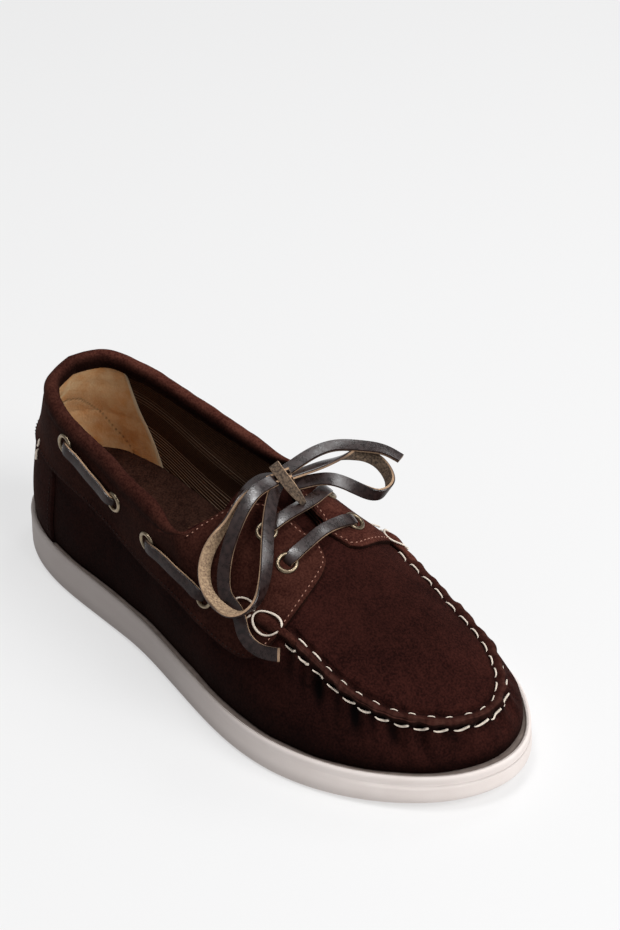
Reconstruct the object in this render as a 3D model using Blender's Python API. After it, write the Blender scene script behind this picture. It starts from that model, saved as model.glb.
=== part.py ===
"""Lace-up boat shoe with a hand-sewn moccasin toe, the right one of a pair, standing on its sole.

The frame is +X to the toe, +Y to the inner side, +Z up, with the origin on the floor under the
middle of the sole.  Every solid of the upper comes from one function, skin(), which gives a point
of the upper's outside from the way round the shoe, the way up the side and a distance outwards.
"""
import bpy
import bmesh
import numpy as np

MM = 0.001

# Driving dimensions, in millimetres
GAP = 0.3               # between neighbouring pieces
WALL = 2.0              # suede and lining of the upper
PANEL_SEAT = 0.86       # the panels lie this far off the upper, clear of its facets
PANEL = 1.4             # leather of the collar panels and the eyestay wings
STAY_SEAT = 0.5         # and the strip round the heel this far
STAY = 1.4              # its leather
TOE_SPRING = 5.4        # lift of the sole's edge at the toe tip
SPRING_START = 64.0     # x where the forefoot leaves the floor
WAIST_RISE = 0.6        # lift of the waist between heel and forefoot
HEEL_BREAST = -62.0     # x of the heel's front edge
WAIST_END = -6.0        # x where the forefoot meets the floor
ROLL_ACROSS = 3.6       # half thickness of the padded roll, across the wall
ROLL_UP = 5.0           # half height of the padded roll
ROLL_SINK = 1.2         # middle of the roll below the collar line
SEAM_HEIGHT = 1.7       # the moccasin seam stands this far off the wall
SEAM_START = 54.0       # x of the sole's edge beside the seam's rear end
EYELET_OUTER = 5.0      # radius of the brass flange
EYELET_HOLE = 3.4       # radius of the hole
EYELET_HIGH = 1.0       # height of the rolled flange
LACE_WIDE = 5.8         # flat leather thong
LACE_THICK = 1.8
CORD = 3.6              # round tube that stands for the free part of the thong

# The sole's outline: half widths either side of the long axis
OUTLINE = np.array([
    # x      outer  inner
    (-148.5,   0.0,   0.0),
    (-142.0,  18.6,  18.0),
    (-128.0,  30.5,  28.4),
    (-105.0,  39.0,  33.0),
    (-70.0,   43.2,  30.6),
    (-35.0,   46.9,  30.0),
    (0.0,     54.4,  35.8),
    (32.0,    61.2,  48.0),
    (60.0,    62.6,  54.4),
    (92.0,    55.4,  50.2),
    (120.0,   40.6,  40.0),
    (139.0,   22.2,  24.6),
    (147.3,   -2.0,   2.0),
])

# The side of the upper, from the sole's ledge to the break where the seam runs.  Insets are
# measured inwards from the outline, leans from the floor, so 90 is upright.
SIDES = np.array([
    # at x  ledge  sole top  inset outer  inset inner  break z  foot lean  wall lean  top lean
    (-148.5, 4.4,  20.6,     7.6,         7.6,         60.0,     95.0,     82.0,      66.0),
    (-128.0, 4.3,  20.3,     8.2,         7.0,         59.0,     95.0,     82.0,      70.0),
    (-105.0, 4.3,  20.0,     8.6,         5.0,         57.0,     95.0,     85.0,      82.0),
    (-70.0,  4.6,  19.2,     8.6,         3.0,         54.0,     95.0,     85.0,      85.0),
    (-35.0,  4.8,  18.4,     8.0,         1.5,         52.0,     96.0,     82.0,      82.0),
    (0.0,    5.0,  17.4,     11.4,        4.0,         53.0,     98.0,     76.0,      72.0),
    (32.0,   5.2,  16.8,     17.6,        11.0,        55.5,     99.0,     68.0,      52.0),
    (60.0,   5.0,  16.6,     19.6,        17.0,        52.5,     100.0,    66.0,      42.0),
    (92.0,   4.6,  16.4,     17.8,        16.5,        45.0,     102.0,    66.0,      36.0),
    (120.0,  4.6,  17.2,     15.0,        14.0,        38.5,     102.0,    66.0,      32.0),
    (139.0,  5.2,  18.0,     13.7,        13.5,        35.5,     102.0,    66.0,      32.0),
    (147.3,  5.6,  18.6,     13.0,        13.0,        34.5,     102.0,    66.0,      32.0),
])

# Where each rib ends: on the collar, along the wings' rear edge, along the throat, then on the
# middle line of the vamp
TOPLINE = np.array([
    # at x     x      outer  inner  z     lean
    (-148.5, -125.8,   0.0,   0.0,  95.6, 78.0),
    (-142.0, -121.6,  15.0,  14.0,  94.9, 78.0),
    (-128.0, -112.8,  23.0,  21.0,  92.4, 78.0),
    (-105.0,  -97.0,  28.4,  25.5,  89.3, 80.0),
    (-70.0,   -69.0,  31.5,  28.0,  84.2, 80.0),
    (-35.0,   -42.0,  35.5,  29.5,  80.0, 75.0),
    (-8.0,    -11.0,  38.5,  29.0,  78.0, 62.0),
    (4.0,      -5.0,  28.0,  23.0,  81.5, 34.0),
    (12.0,     -1.0,  14.0,  14.0,  85.2, 18.0),
    (20.0,      5.0,   4.0,   8.0,  86.4,  5.0),
    (40.0,     31.0,   4.5,   5.5,  79.8,  3.0),
    (46.0,     36.0,   0.0,   0.0,  78.2,  0.0),
    (60.0,     50.0,   0.0,   0.0,  73.0,  0.0),
    (92.0,     78.0,   0.0,   0.0,  61.5,  0.0),
    (120.0,    96.0,   0.0,   0.0,  53.5,  8.0),
    (139.0,   104.0,   0.0,   0.0,  49.8, 16.0),
    (147.3,   107.0,   0.0,   0.0,  48.3, 20.0),
])
COLLAR_END = -8.0       # sole x beside the corner where the roll stops and the wing begins
THROAT_FRONT = 46.0     # sole x beside the throat's front end
WING_LOW = 16.0         # sole x beside the lowest part of the wing's rear edge
WING_SAG = 0.07         # and how much of the rib is cut away there

# The collar panel and its wing: lower and upper edge, as sole x and height up the rib.  The inner
# wing's lower edge swings forward later than the outer one's.
PANEL_EDGES = np.array([
    # low at  low t  high at  high t  inner low at
    (-148.5,  0.50,  -148.5,  1.0,    -148.5),
    (-128.0,  0.51,  -128.0,  1.0,    -128.0),
    (-105.0,  0.53,  -105.0,  1.0,    -105.0),
    (-80.0,   0.54,   -80.0,  1.0,     -80.0),
    (-54.0,   0.47,   -54.0,  1.0,     -54.0),
    (-31.0,   0.42,   -31.0,  1.0,     -31.0),
    (-8.0,    0.38,   -11.0,  1.0,      -8.0),
    (16.0,    0.33,     4.0,  1.0,      14.0),
    (30.0,    0.32,    14.0,  1.0,      25.0),
    (40.0,    0.35,    20.0,  1.0,      32.0),
    (47.0,    0.45,    26.0,  1.0,      38.0),
    (52.0,    0.58,    31.0,  1.0,      44.5),
    (57.0,    0.74,    36.0,  1.0,      53.0),
    (58.5,    0.86,    41.0,  0.985,    58.0),
    (56.0,    0.93,    47.0,  0.97,     56.5),
])

# The tongue: rib sections across the shoe
TONGUE = np.array([
    # x    half width  middle z  fall at the edge
    (-6.0,  17.5,      83.5,     4.4),
    (0.0,   18.5,      83.7,     5.0),
    (8.0,   19.0,      82.9,     5.4),
    (20.0,  18.5,      79.7,     5.4),
    (34.0,  17.0,      74.7,     5.2),
    (48.0,  14.0,      69.5,     4.0),
])
TONGUE_THICK = 2.0

# The padded footbed under the sock
FOOTBED = np.array([
    # at x    thickness
    (-148.5, 14.0),
    (-105.0, 14.6),
    (-70.0,  14.4),
    (-35.0,  10.2),
    (0.0,     5.8),
    (32.0,    3.2),
    (60.0,    3.0),
    (147.3,   3.0),
])

# Eyelets, as sole x and height up the rib on each side, from the heel forwards
EYELETS = np.array([
    # outer at  t    inner at  t
    (-99.0, 0.88, -99.0, 0.88),
    (-54.0, 0.79, -54.0, 0.79),
    (-29.0, 0.70, -29.0, 0.70),
    (7.0,   0.53,   7.0, 0.53),
    (30.0,  0.87,  25.0, 0.80),
    (42.0,  0.81,  42.0, 0.81),
])
FRONT_EYELET, REAR_EYELET = 5, 4
EYELET_SEAT = PANEL_SEAT + PANEL + 0.64
BAR_MIDDLE = {FRONT_EYELET: (38.4, -0.9, 82.6), REAR_EYELET: (24.6, -2.5, 88.2)}

# The knot, and the routes of the loops and free ends, by hand from knot to end
KNOT = (13.5, -0.5, 97.6)
KNOT_HALF = (5.5, 6.5, 4.6)
ROUTES = {
    "lace_loop_outer": (
        (16.3, -6.6, 96.3), (21.4, -14.9, 92.6), (26.7, -21.7, 87.9), (33.2, -29.2, 80.4),
        (38.5, -38.0, 71.5), (39.5, -45.0, 67.0), (36.0, -50.0, 64.5), (27.0, -51.0, 63.5),
        (15.0, -48.0, 65.5), (8.5, -43.0, 70.5), (6.5, -36.5, 78.0), (7.0, -27.5, 86.0),
        (5.5, -18.5, 92.5), (4.5, -9.0, 95.0), (6.4, -3.6, 96.5)),
    "lace_end_outer": (
        (13.5, -8.2, 99.2), (13.0, -14.0, 98.5), (13.5, -21.0, 95.5), (15.0, -29.0, 89.5),
        (16.5, -36.0, 81.0), (19.0, -41.5, 71.5), (24.0, -45.0, 64.5), (31.5, -46.0, 60.5),
        (38.0, -49.5, 56.0), (49.0, -51.5, 53.5), (60.0, -50.0, 56.0)),
    "lace_loop_inner": (
        (16.3, 7.4, 97.8), (19.0, 18.0, 97.6), (20.2, 31.0, 95.8), (21.0, 41.0, 92.5),
        (26.0, 46.5, 88.8), (33.5, 45.8, 86.0), (39.5, 40.5, 84.2), (39.5, 33.6, 83.7),
        (34.0, 30.0, 84.6), (28.0, 27.5, 86.4), (23.0, 23.5, 88.9), (19.8, 16.5, 91.4),
        (17.6, 5.9, 93.8)),
    "lace_end_inner": (
        (12.8, 6.2, 99.7), (13.3, 18.0, 100.7), (16.0, 31.5, 99.8), (22.0, 42.0, 96.8),
        (28.5, 50.2, 93.2), (35.0, 53.0, 90.5)),
}


def cubic(at, values, where, closed=False):
    """Smooth curve through the rows: a cubic spline, periodic when closed."""
    values = np.asarray(values, float).reshape(len(at), -1)
    step = np.diff(at)
    slope = np.diff(values, axis=0) / step[:, None]
    matrix = np.eye(len(at))
    right = np.zeros_like(values)
    for i in range(1, len(at) - 1):
        matrix[i, i - 1:i + 2] = 1 / step[i - 1], 2 / step[i - 1] + 2 / step[i], 1 / step[i]
        right[i] = 3 * (slope[i - 1] / step[i - 1] + slope[i] / step[i])
    if closed:
        matrix[0, [0, 1, -2]] = 2 / step[0] + 2 / step[-1], 1 / step[0], 1 / step[-1]
        right[0] = 3 * (slope[0] / step[0] + slope[-1] / step[-1])
        matrix[-1, 0] = -1
    else:
        matrix[0, :2] = 2, 1
        right[0] = 3 * slope[0]
        matrix[-1, -2:] = 1, 2
        right[-1] = 3 * slope[-1]
    return hermite(at, values, np.linalg.solve(matrix, right), where)


def level(at, values, where):
    """Smooth curve that never passes its rows and is level at both ends."""
    values = np.asarray(values, float).reshape(len(at), -1)
    step = np.diff(at)[:, None]
    slope = np.diff(values, axis=0) / step
    before, after = slope[:-1], slope[1:]
    same = before * after > 0
    safe_before = np.where(same, before, 1.0)
    safe_after = np.where(same, after, 1.0)
    first = 2 * step[1:] + step[:-1]
    second = step[1:] + 2 * step[:-1]
    tangent = np.zeros_like(values)
    tangent[1:-1] = np.where(same, (first + second) / (first / safe_before + second / safe_after), 0.0)
    return hermite(at, values, tangent, where)


def hermite(at, values, tangent, where):
    """Cubic pieces between rows that have a value and a slope."""
    where = np.asarray(where, float)
    i = np.clip(np.searchsorted(at, where, side="right") - 1, 0, len(at) - 2)
    step = (at[i + 1] - at[i])[..., None]
    f = ((where - at[i]) / (at[i + 1] - at[i]))[..., None]
    return (values[i] * (1 + 2 * f) * (1 - f) ** 2 + values[i + 1] * f * f * (3 - 2 * f)
            + step * (tangent[i] * f * (1 - f) ** 2 - tangent[i + 1] * f * f * (1 - f)))


# The outline as one closed loop: heel, outer side, toe, inner side
LOOP = np.vstack([OUTLINE[:, :2] * (1, -1), OUTLINE[-2::-1, [0, 2]]])
KNOTS = np.concatenate([[0.0], np.cumsum(np.linalg.norm(np.diff(LOOP, axis=0), axis=1))])
ROWS = len(OUTLINE)
TOE = KNOTS[ROWS - 1]
ROUND = KNOTS[-1]
SHARES = (KNOTS[:ROWS] / TOE + (ROUND - KNOTS[ROWS - 1:])[::-1] / (ROUND - TOE)) / 2


def share(x):
    """Way from heel (0) to toe (1) along the edge, for an x of the sole."""
    return np.interp(x, OUTLINE[:, 0], SHARES)


def outline(s):
    """Point and inward direction of the sole's outline.

    s runs from 0 at the heel round the outer side to 1 at the toe, and back along the inner
    side to 2 at the heel.
    """
    s = np.mod(s, 2.0)
    along = np.where(s <= 1, s * TOE, TOE + (s - 1) * (ROUND - TOE))
    point = cubic(KNOTS, LOOP, along, True)
    ahead = cubic(KNOTS, LOOP, np.mod(along + 0.05, ROUND), True)
    behind = cubic(KNOTS, LOOP, np.mod(along - 0.05, ROUND), True)
    along_edge = (ahead - behind) / np.linalg.norm(ahead - behind, axis=-1, keepdims=True)
    return point, np.stack([-along_edge[..., 1], along_edge[..., 0]], -1)


def blend(x, start, end):
    """0 before start, 1 after end, smooth between."""
    f = np.clip((x - start) / (end - start), 0, 1)
    return f * f * (3 - 2 * f)


def bezier(points, f):
    """Cubic Bezier curve through four control points."""
    f = f[..., None]
    return (points[0] * (1 - f) ** 3 + 3 * points[1] * f * (1 - f) ** 2
            + 3 * points[2] * f * f * (1 - f) + points[3] * f ** 3)


def rib_ends(s):
    """Foot, break and top of the rib at s, with the leans there."""
    s = np.mod(s, 2.0)
    u = np.where(s <= 1, s, 2 - s)
    inner = s > 1
    edge, inward = outline(s)
    side = level(share(SIDES[:, 0]), SIDES[:, 1:], u)
    top = level(share(TOPLINE[:, 0]), TOPLINE[:, 1:], u)
    ledge, sole_top, inset_outer, inset_inner, break_z = np.moveaxis(side[..., :5], -1, 0)
    inset = np.where(inner, inset_inner, inset_outer)
    foot = np.stack([*np.moveaxis(edge + inward * ledge[..., None], -1, 0), sole_top], -1)
    seam = np.stack([*np.moveaxis(edge + inward * inset[..., None], -1, 0), break_z], -1)
    end = np.stack([top[..., 0], np.where(inner, top[..., 2], -top[..., 1]), top[..., 3]], -1)
    leans = np.radians(np.concatenate([side[..., 5:], top[..., 4:]], -1))
    return u, inner, inward, foot, seam, end, leans


def surface(s, t):
    """Point of the upper's outside: t is 0 at the ledge, 0.5 at the break and 1 at the top.

    Each rib is two cubic Bezier curves in upright planes.  The lower one rises from the ledge
    with the foot lean to the break with the wall lean.  The upper one goes on with the top lean,
    and ends along the collar's wall or, on the vamp, level across the middle line.
    """
    s, t = np.broadcast_arrays(np.asarray(s, float), np.asarray(t, float))
    u, inner, inward, foot, seam, end, leans = rib_ends(s)
    up = np.array([0.0, 0.0, 1.0])
    inward = np.concatenate([inward, np.zeros_like(inward[..., :1])], -1)
    on_vamp = blend(u, share(COLLAR_END), share(20.0))[..., None]
    turn = np.pi / 2 * np.clip((u - share(92.0)) / (1 - share(92.0)), 0, 1)
    across = np.stack([-np.sin(turn), np.where(inner, -1, 1) * np.cos(turn), 0 * turn], -1)
    last = inward * (1 - on_vamp) + across * on_vamp
    last = last / np.linalg.norm(last, axis=-1, keepdims=True)
    cosine, sine = np.cos(leans)[..., None], np.sin(leans)[..., None]
    heading = [cosine[..., i, :] * way + sine[..., i, :] * up
               for i, way in enumerate((inward, inward, inward, last))]
    low = 0.36 * np.linalg.norm(seam - foot, axis=-1, keepdims=True)
    high = 0.34 * np.linalg.norm(end - seam, axis=-1, keepdims=True)
    wall = bezier((foot, foot + low * heading[0], seam - low * heading[1], seam), 2 * t)
    crown = bezier((seam, seam + high * heading[2], end - high * heading[3], end), 2 * t - 1)
    return np.where((t <= 0.5)[..., None], wall, crown)


def outward(s, t):
    """Unit normal of the surface, from its slopes both ways."""
    s, t = np.broadcast_arrays(np.asarray(s, float), np.asarray(t, float))
    step = 0.002
    t = np.clip(t, 2 * step, 1 - 6 * step)
    around = surface(s + step, t) - surface(s - step, t)
    upwards = surface(s, t + step) - surface(s, t - step)
    normal = np.cross(around, upwards)
    return normal / np.linalg.norm(normal, axis=-1, keepdims=True)


def skin(s, t, lift):
    """Point at a distance lift outside the upper."""
    return surface(s, t) + outward(s, t) * np.asarray(lift, float)[..., None]


EDGE_LINE = outline(np.linspace(0, 2, 721))[0]
CENTRE = np.append((EDGE_LINE.max(axis=0) + EDGE_LINE.min(axis=0)) / 2, 0.0)


def material(name, colour, roughness, metallic=0.0):
    """Principled material in one colour."""
    made = bpy.data.materials.new(name)
    made.use_nodes = True
    shader = made.node_tree.nodes["Principled BSDF"]
    shader.inputs["Base Color"].default_value = (*colour, 1.0)
    shader.inputs["Roughness"].default_value = roughness
    shader.inputs["Metallic"].default_value = metallic
    return made


def solid(name, points, faces, finish):
    """Closed object from points in millimetres, in the shoe's frame."""
    mesh = bpy.data.meshes.new(name)
    moved = (np.asarray(points, float).reshape(-1, 3) - CENTRE) * MM
    mesh.from_pydata(moved.tolist(), [], faces)
    shape = bmesh.new()
    shape.from_mesh(mesh)
    bmesh.ops.remove_doubles(shape, verts=shape.verts, dist=0.00001)
    bmesh.ops.recalc_face_normals(shape, faces=shape.faces)
    shape.to_mesh(mesh)
    shape.free()
    mesh.shade_smooth()
    mesh.set_sharp_from_angle(angle=np.radians(50))
    mesh.materials.append(finish)
    made = bpy.data.objects.new(name, mesh)
    bpy.context.scene.collection.objects.link(made)
    return made


def strip(first, second):
    """Quads between two equal rows of point numbers."""
    return [(int(a), int(b), int(d), int(c))
            for a, b, c, d in zip(first[:-1], first[1:], second[:-1], second[1:])]


def sheet_faces(numbers):
    """Quads of a grid of point numbers."""
    return [face for low, high in zip(numbers[:-1], numbers[1:]) for face in strip(low, high)]


def slab(name, outer, inner, finish, around=False):
    """Solid between two grids of points, closed round its rim."""
    rows, columns = outer.shape[:2]
    top = np.arange(rows * columns).reshape(rows, columns)
    if around:
        top = np.vstack([top, top[:1]])
    below = top + rows * columns
    faces = sheet_faces(top) + sheet_faces(below)
    rims = [(top[:, 0], below[:, 0]), (top[:, -1], below[:, -1])]
    if not around:
        rims += [(top[0], below[0]), (top[-1], below[-1])]
    for first, second in rims:
        faces += strip(first, second)
    return solid(name, np.vstack([outer.reshape(-1, 3), inner.reshape(-1, 3)]), faces, finish)


def tube(name, rings, finish):
    """Solid swept through rings of points, with flat ends."""
    count, around = rings.shape[:2]
    numbers = np.arange(count * around).reshape(count, around)
    numbers = np.hstack([numbers, numbers[:, :1]])
    faces = sheet_faces(numbers)
    faces += [tuple(int(i) for i in numbers[0, :-1]), tuple(int(i) for i in numbers[-1, :-1])]
    return solid(name, rings, faces, finish)


def spread(rows, steps):
    """Positions that pass through every row, with the given steps between neighbours."""
    pieces = [np.linspace(a, b, n, endpoint=False) for a, b, n in zip(rows[:-1], rows[1:], steps)]
    return np.concatenate(pieces + [[rows[-1]]])


def make_outsole(finish):
    """Rubber unit sole: heel, waist, forefoot and toe spring below, a lipped ledge above."""
    half = np.linspace(0, 1, 45)
    s = np.concatenate([half, 2 - half[-2:0:-1]])
    edge, inward = outline(s)
    u = np.where(s <= 1, s, 2 - s)
    top_z = level(share(SIDES[:, 0]), SIDES[:, 2], u)[:, 0]
    bottom_z = sole_bottom(edge[:, 0])
    profile = (
        # inset  share of the height  millimetres added
        (1.6, 0.0, 0.0),
        (0.4, 0.0, 0.7),
        (0.0, 0.0, 2.4),
        (0.6, 1.0, -3.6),
        (1.0, 1.0, -3.2),
        (0.6, 1.0, -2.6),
        (0.7, 1.0, -1.0),
        (1.6, 1.0, 0.0),
    )
    rings = []
    for inset, part, add in profile:
        place = edge + inward * inset
        z = np.where(part > 0, top_z, sole_bottom(place[:, 0])) + add
        rings.append(np.column_stack([place, z]))
    ring_size = len(s)
    numbers = np.arange(len(profile) * ring_size).reshape(len(profile), ring_size)
    around = np.hstack([numbers, numbers[:, :1]])
    faces = sheet_faces(around)
    for ring in (numbers[0], numbers[-1]):
        outer_side, inner_side = ring[:45], np.concatenate([ring[:1], ring[:43:-1]])
        faces += [(int(outer_side[0]), int(outer_side[1]), int(inner_side[1]))]
        faces += strip(outer_side[1:-1], inner_side[1:-1])
        faces += [(int(outer_side[-2]), int(outer_side[-1]), int(inner_side[-2]))]
    return solid("outsole", np.vstack(rings), faces, finish)


def sole_bottom(x):
    """Underside: flat heel, raised waist, flat forefoot, then up to the toe spring."""
    waist = blend(x, HEEL_BREAST, HEEL_BREAST + 24) * (1 - blend(x, WAIST_END - 30, WAIST_END))
    spring = np.clip((x - SPRING_START) / (OUTLINE[-1, 0] - SPRING_START), 0, None) ** 2
    return WAIST_RISE * waist + TOE_SPRING * spring


def make_insole(finish):
    """Footbed and sock inside the wall: thin at the toe, thick and padded under arch and heel."""
    half = np.linspace(0, 1, 33)
    s = np.concatenate([half, 2 - half[-2:0:-1]])
    u = np.where(s <= 1, s, 2 - s)
    edge, inward = outline(s)
    side = level(share(SIDES[:, 0]), SIDES[:, 1:3], u)
    thick = level(share(FOOTBED[:, 0]), FOOTBED[:, 1], u)[:, 0]
    heights = np.linspace(0.02, 0.45, 40)
    wall = skin(s[:, None], heights, np.full((len(s), len(heights)), -WALL - 3 * GAP))
    foot = np.column_stack([edge + inward * (side[:, :1] + WALL + 3 * GAP), side[:, 1] + GAP])
    rings = [foot]
    for part in (0.5, 1.0):
        ring = []
        for rib, start, rise in zip(wall, foot, thick * part):
            z = start[2] + rise
            place = [np.interp(z, rib[:, 2], rib[:, axis]) for axis in (0, 1)]
            ring.append([*place, z])
        rings.append(np.array(ring))
    numbers = np.arange(3 * len(s)).reshape(3, len(s))
    faces = sheet_faces(np.hstack([numbers, numbers[:, :1]]))
    for ring in numbers[[0, -1]]:
        outer_side, inner_side = ring[:33], np.concatenate([ring[:1], ring[:31:-1]])
        faces += [(int(outer_side[0]), int(outer_side[1]), int(inner_side[1]))]
        faces += strip(outer_side[1:-1], inner_side[1:-1])
        faces += [(int(outer_side[-2]), int(outer_side[-1]), int(inner_side[-2]))]
    return solid("insole", np.vstack(rings), faces, finish)


def rim_height(s):
    """Height up the rib where the upper's own wall ends: under the roll, or at the wing's edge."""
    s = np.mod(s, 2.0)
    u = np.where(s <= 1, s, 2 - s)
    _, _, _, _, seam, end, _ = rib_ends(s)
    drop = (ROLL_SINK + ROLL_UP + 2 * GAP) * (1 - blend(u, share(COLLAR_END - 3), share(COLLAR_END + 5)))
    low = np.exp(-((u - share(WING_LOW)) / (share(WING_LOW) - share(WING_LOW - 7))) ** 2)
    return 1 - WING_SAG * low - 0.5 * drop / np.linalg.norm(end - seam, axis=-1)


def seam_lift(s, t):
    """The moccasin seam: a low ridge along the break, from the wings round the toe."""
    s = np.mod(s, 2.0)
    u = np.where(s <= 1, s, 2 - s)
    along = blend(u, share(SEAM_START), share(SEAM_START + 8))
    return SEAM_HEIGHT * along * (1 - blend(np.abs(t - 0.5), 0.025, 0.05))


def make_upper(finish):
    """One hollow shell: vamp wall, plug and quarters, open at the collar, throat and sole."""
    rows = share(np.array([-148.5, -128.0, -105.0, -70.0, -35.0, -8.0, 4.0, 12.0, 20.0, 40.0,
                           THROAT_FRONT, 60.0, 92.0, 120.0, 139.0, 147.3]))
    half = spread(rows, (4, 3, 2, 2, 2, 3, 2, 1, 2, 1, 2, 4, 4, 3, 2))
    s = np.concatenate([half, 2 - half[-2:0:-1]])
    heights = np.array([0.0, 0.13, 0.28, 0.45, 0.475, 0.525, 0.55, 0.68, 0.84, 1.0])
    rim = rim_height(s)[:, None]
    t = np.where(heights > 0.55, 0.55 + (heights - 0.55) / 0.45 * (rim - 0.55), heights)
    s_grid = np.repeat(s[:, None], len(heights), axis=1)
    outer = skin(s_grid, t, seam_lift(s_grid, t))
    inner = skin(s_grid, t, np.full_like(t, -WALL))
    outer[:, 0, 2] += GAP
    inner[:, 0, 2] += GAP
    # the two sides share their last point on the middle line
    partner = (-np.arange(len(s))) % len(s)
    u = np.where(s <= 1, s, 2 - s)
    on_line = u >= share(THROAT_FRONT) - 1e-6
    for grid in (outer, inner):
        grid[on_line, -1] = ((grid[:, -1] + grid[partner, -1]) / 2)[on_line]
    rows, columns = t.shape
    top = np.arange(rows * columns).reshape(rows, columns)
    top = np.vstack([top, top[:1]])
    below = top + rows * columns
    faces = sheet_faces(top) + sheet_faces(below) + strip(top[:, 0], below[:, 0])
    open_rib = np.append(~on_line, ~on_line[:1])
    for i in range(rows):
        if open_rib[i] or open_rib[i + 1]:
            faces += strip(top[i:i + 2, -1], below[i:i + 2, -1])
    return solid("upper", np.vstack([outer.reshape(-1, 3), inner.reshape(-1, 3)]), faces, finish)


def make_quarter(name, inner_side, finish):
    """Collar panel and eyestay wing of one side, laid on the upper."""
    ends = np.arange(len(PANEL_EDGES), dtype=float)
    steps = (5, 3, 2, 2, 2, 2, 3, 2, 2, 2, 2, 2, 2, 1)
    rows = cubic(ends, PANEL_EDGES, spread(ends, steps))
    across = np.linspace(0, 1, 8)
    low_s, high_s = share(rows[:, 4 if inner_side else 0]), share(rows[:, 2])
    low_s[0] = high_s[0] = 0.003
    s = low_s[:, None] * (1 - across) + high_s[:, None] * across
    rim = np.minimum(rows[:, 3:4], rim_height(s) - 0.004)
    t = rows[:, 1:2] * (1 - across) + rim * across
    if inner_side:
        s = 2 - s
    lift = seam_lift(s, t) + PANEL_SEAT
    outer = skin(s, t, lift + PANEL)
    inner = skin(s, t, lift)
    return slab(name, outer, inner, finish)


def make_back_stay(finish):
    """Strip round the heel, from the ledge to the collar panels."""
    s = np.linspace(-share(-106.0), share(-106.0), 17)
    low, high = 0.02, PANEL_EDGES[0, 1] - 0.02
    t = np.linspace(low, high, 6)
    grid_s, grid_t = np.meshgrid(s, t, indexing="ij")
    outer = skin(grid_s, grid_t, np.full_like(grid_t, STAY_SEAT + STAY))
    inner = skin(grid_s, grid_t, np.full_like(grid_t, STAY_SEAT))
    return slab("back_stay", outer, inner, finish)


def make_roll(finish):
    """Padded roll from the outer corner round the heel to the inner corner."""
    stop = share(COLLAR_END - 4.0)
    s = np.linspace(stop, -stop, 49)
    _, _, _, _, seam, end, _ = rib_ends(s)
    down = surface(s, 0.98) - surface(s, 1.0)
    down /= np.linalg.norm(down, axis=-1, keepdims=True)
    normal = outward(s, 0.99)
    middle = end + down * ROLL_SINK - normal * WALL / 2
    angle = np.linspace(0, 2 * np.pi, 10, endpoint=False)[None, :, None]
    taper = (0.55 + 0.45 * blend(np.minimum(np.arange(49), 48 - np.arange(49)), 0, 3))[:, None, None]
    rings = middle[:, None] + taper * (ROLL_ACROSS * np.cos(angle) * normal[:, None]
                                       + ROLL_UP * np.sin(angle) * down[:, None])
    return tube("collar_roll", rings, finish)


def make_tongue(finish):
    """Soft tongue under the throat, arched across the instep."""
    x = np.linspace(TONGUE[0, 0], TONGUE[-1, 0], 12)
    half, middle, fall = cubic(TONGUE[:, 0], TONGUE[:, 1:], x).T
    v = np.linspace(-1, 1, 11)
    rear = -2.0 * (1 - v ** 2) * (1 - blend(x[:, None], -7.0, 6.0))
    grid = np.stack([x[:, None] + rear, half[:, None] * v, middle[:, None] - fall[:, None] * v ** 2], -1)
    slope = np.gradient(middle, x)
    normal = np.stack([np.repeat(-slope[:, None], len(v), 1), 2 * fall[:, None] * v / half[:, None],
                       np.ones((len(x), len(v)))], -1)
    normal /= np.linalg.norm(normal, axis=-1, keepdims=True)
    return slab("tongue", grid, grid - TONGUE_THICK * normal, finish)


def make_eyelet(name, s, t, finish):
    """Rolled brass ring on the panel."""
    centre = skin(s, t, EYELET_SEAT)
    axis = outward(s, t)
    across = np.cross(axis, (0, 0, 1.0))
    across /= np.linalg.norm(across)
    along = np.cross(axis, across)
    profile = ((EYELET_HOLE, 0.0), (EYELET_OUTER, 0.0), (EYELET_OUTER - 0.5, EYELET_HIGH * 0.8),
               (EYELET_HOLE + 0.6, EYELET_HIGH))
    angle = np.linspace(0, 2 * np.pi, 12, endpoint=False)[:, None]
    ring = np.cos(angle) * across + np.sin(angle) * along
    points = np.stack([centre + radius * ring + high * axis for radius, high in profile], 1)
    numbers = np.arange(48).reshape(12, 4)
    numbers = np.hstack([numbers, numbers[:, :1]])
    numbers = np.vstack([numbers, numbers[:1]])
    return solid(name, points, sheet_faces(numbers), finish)


def make_thong(name, path, normals, finish):
    """Flat lace along a path, its flat side square to the normals."""
    forward = np.gradient(path, axis=0)
    forward /= np.linalg.norm(forward, axis=-1, keepdims=True)
    across = np.cross(normals, forward)
    across /= np.linalg.norm(across, axis=-1, keepdims=True)
    up = np.cross(forward, across)
    corners = ((-0.5, -0.3), (-0.3, -0.5), (0.3, -0.5), (0.5, -0.3), (0.5, 0.3), (0.3, 0.5),
               (-0.3, 0.5), (-0.5, 0.3))
    rings = np.stack([path + LACE_WIDE * a * across + LACE_THICK * b * up for a, b in corners], 1)
    return tube(name, rings, finish)


def eyelet_at(number, inner_side):
    """Way round the shoe and height up the rib of one eyelet."""
    column = 2 if inner_side else 0
    at, height = EYELETS[number, column:column + 2]
    return (2 - share(at) if inner_side else share(at)), height


def make_side_run(name, first, second, inner_side, finish):
    """Visible run of the lace on the panel, from one eyelet to the next."""
    f = np.linspace(0, 1, 9)
    (first_s, first_t), (second_s, second_t) = eyelet_at(first, inner_side), eyelet_at(second, inner_side)
    s = first_s * (1 - f) + second_s * f
    t = first_t * (1 - f) + second_t * f
    lift = EYELET_SEAT + EYELET_HIGH + LACE_THICK / 2 + GAP + 0.5 * np.sin(np.pi * f)
    return make_thong(name, skin(s, t, lift), outward(s, t), finish)


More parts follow.
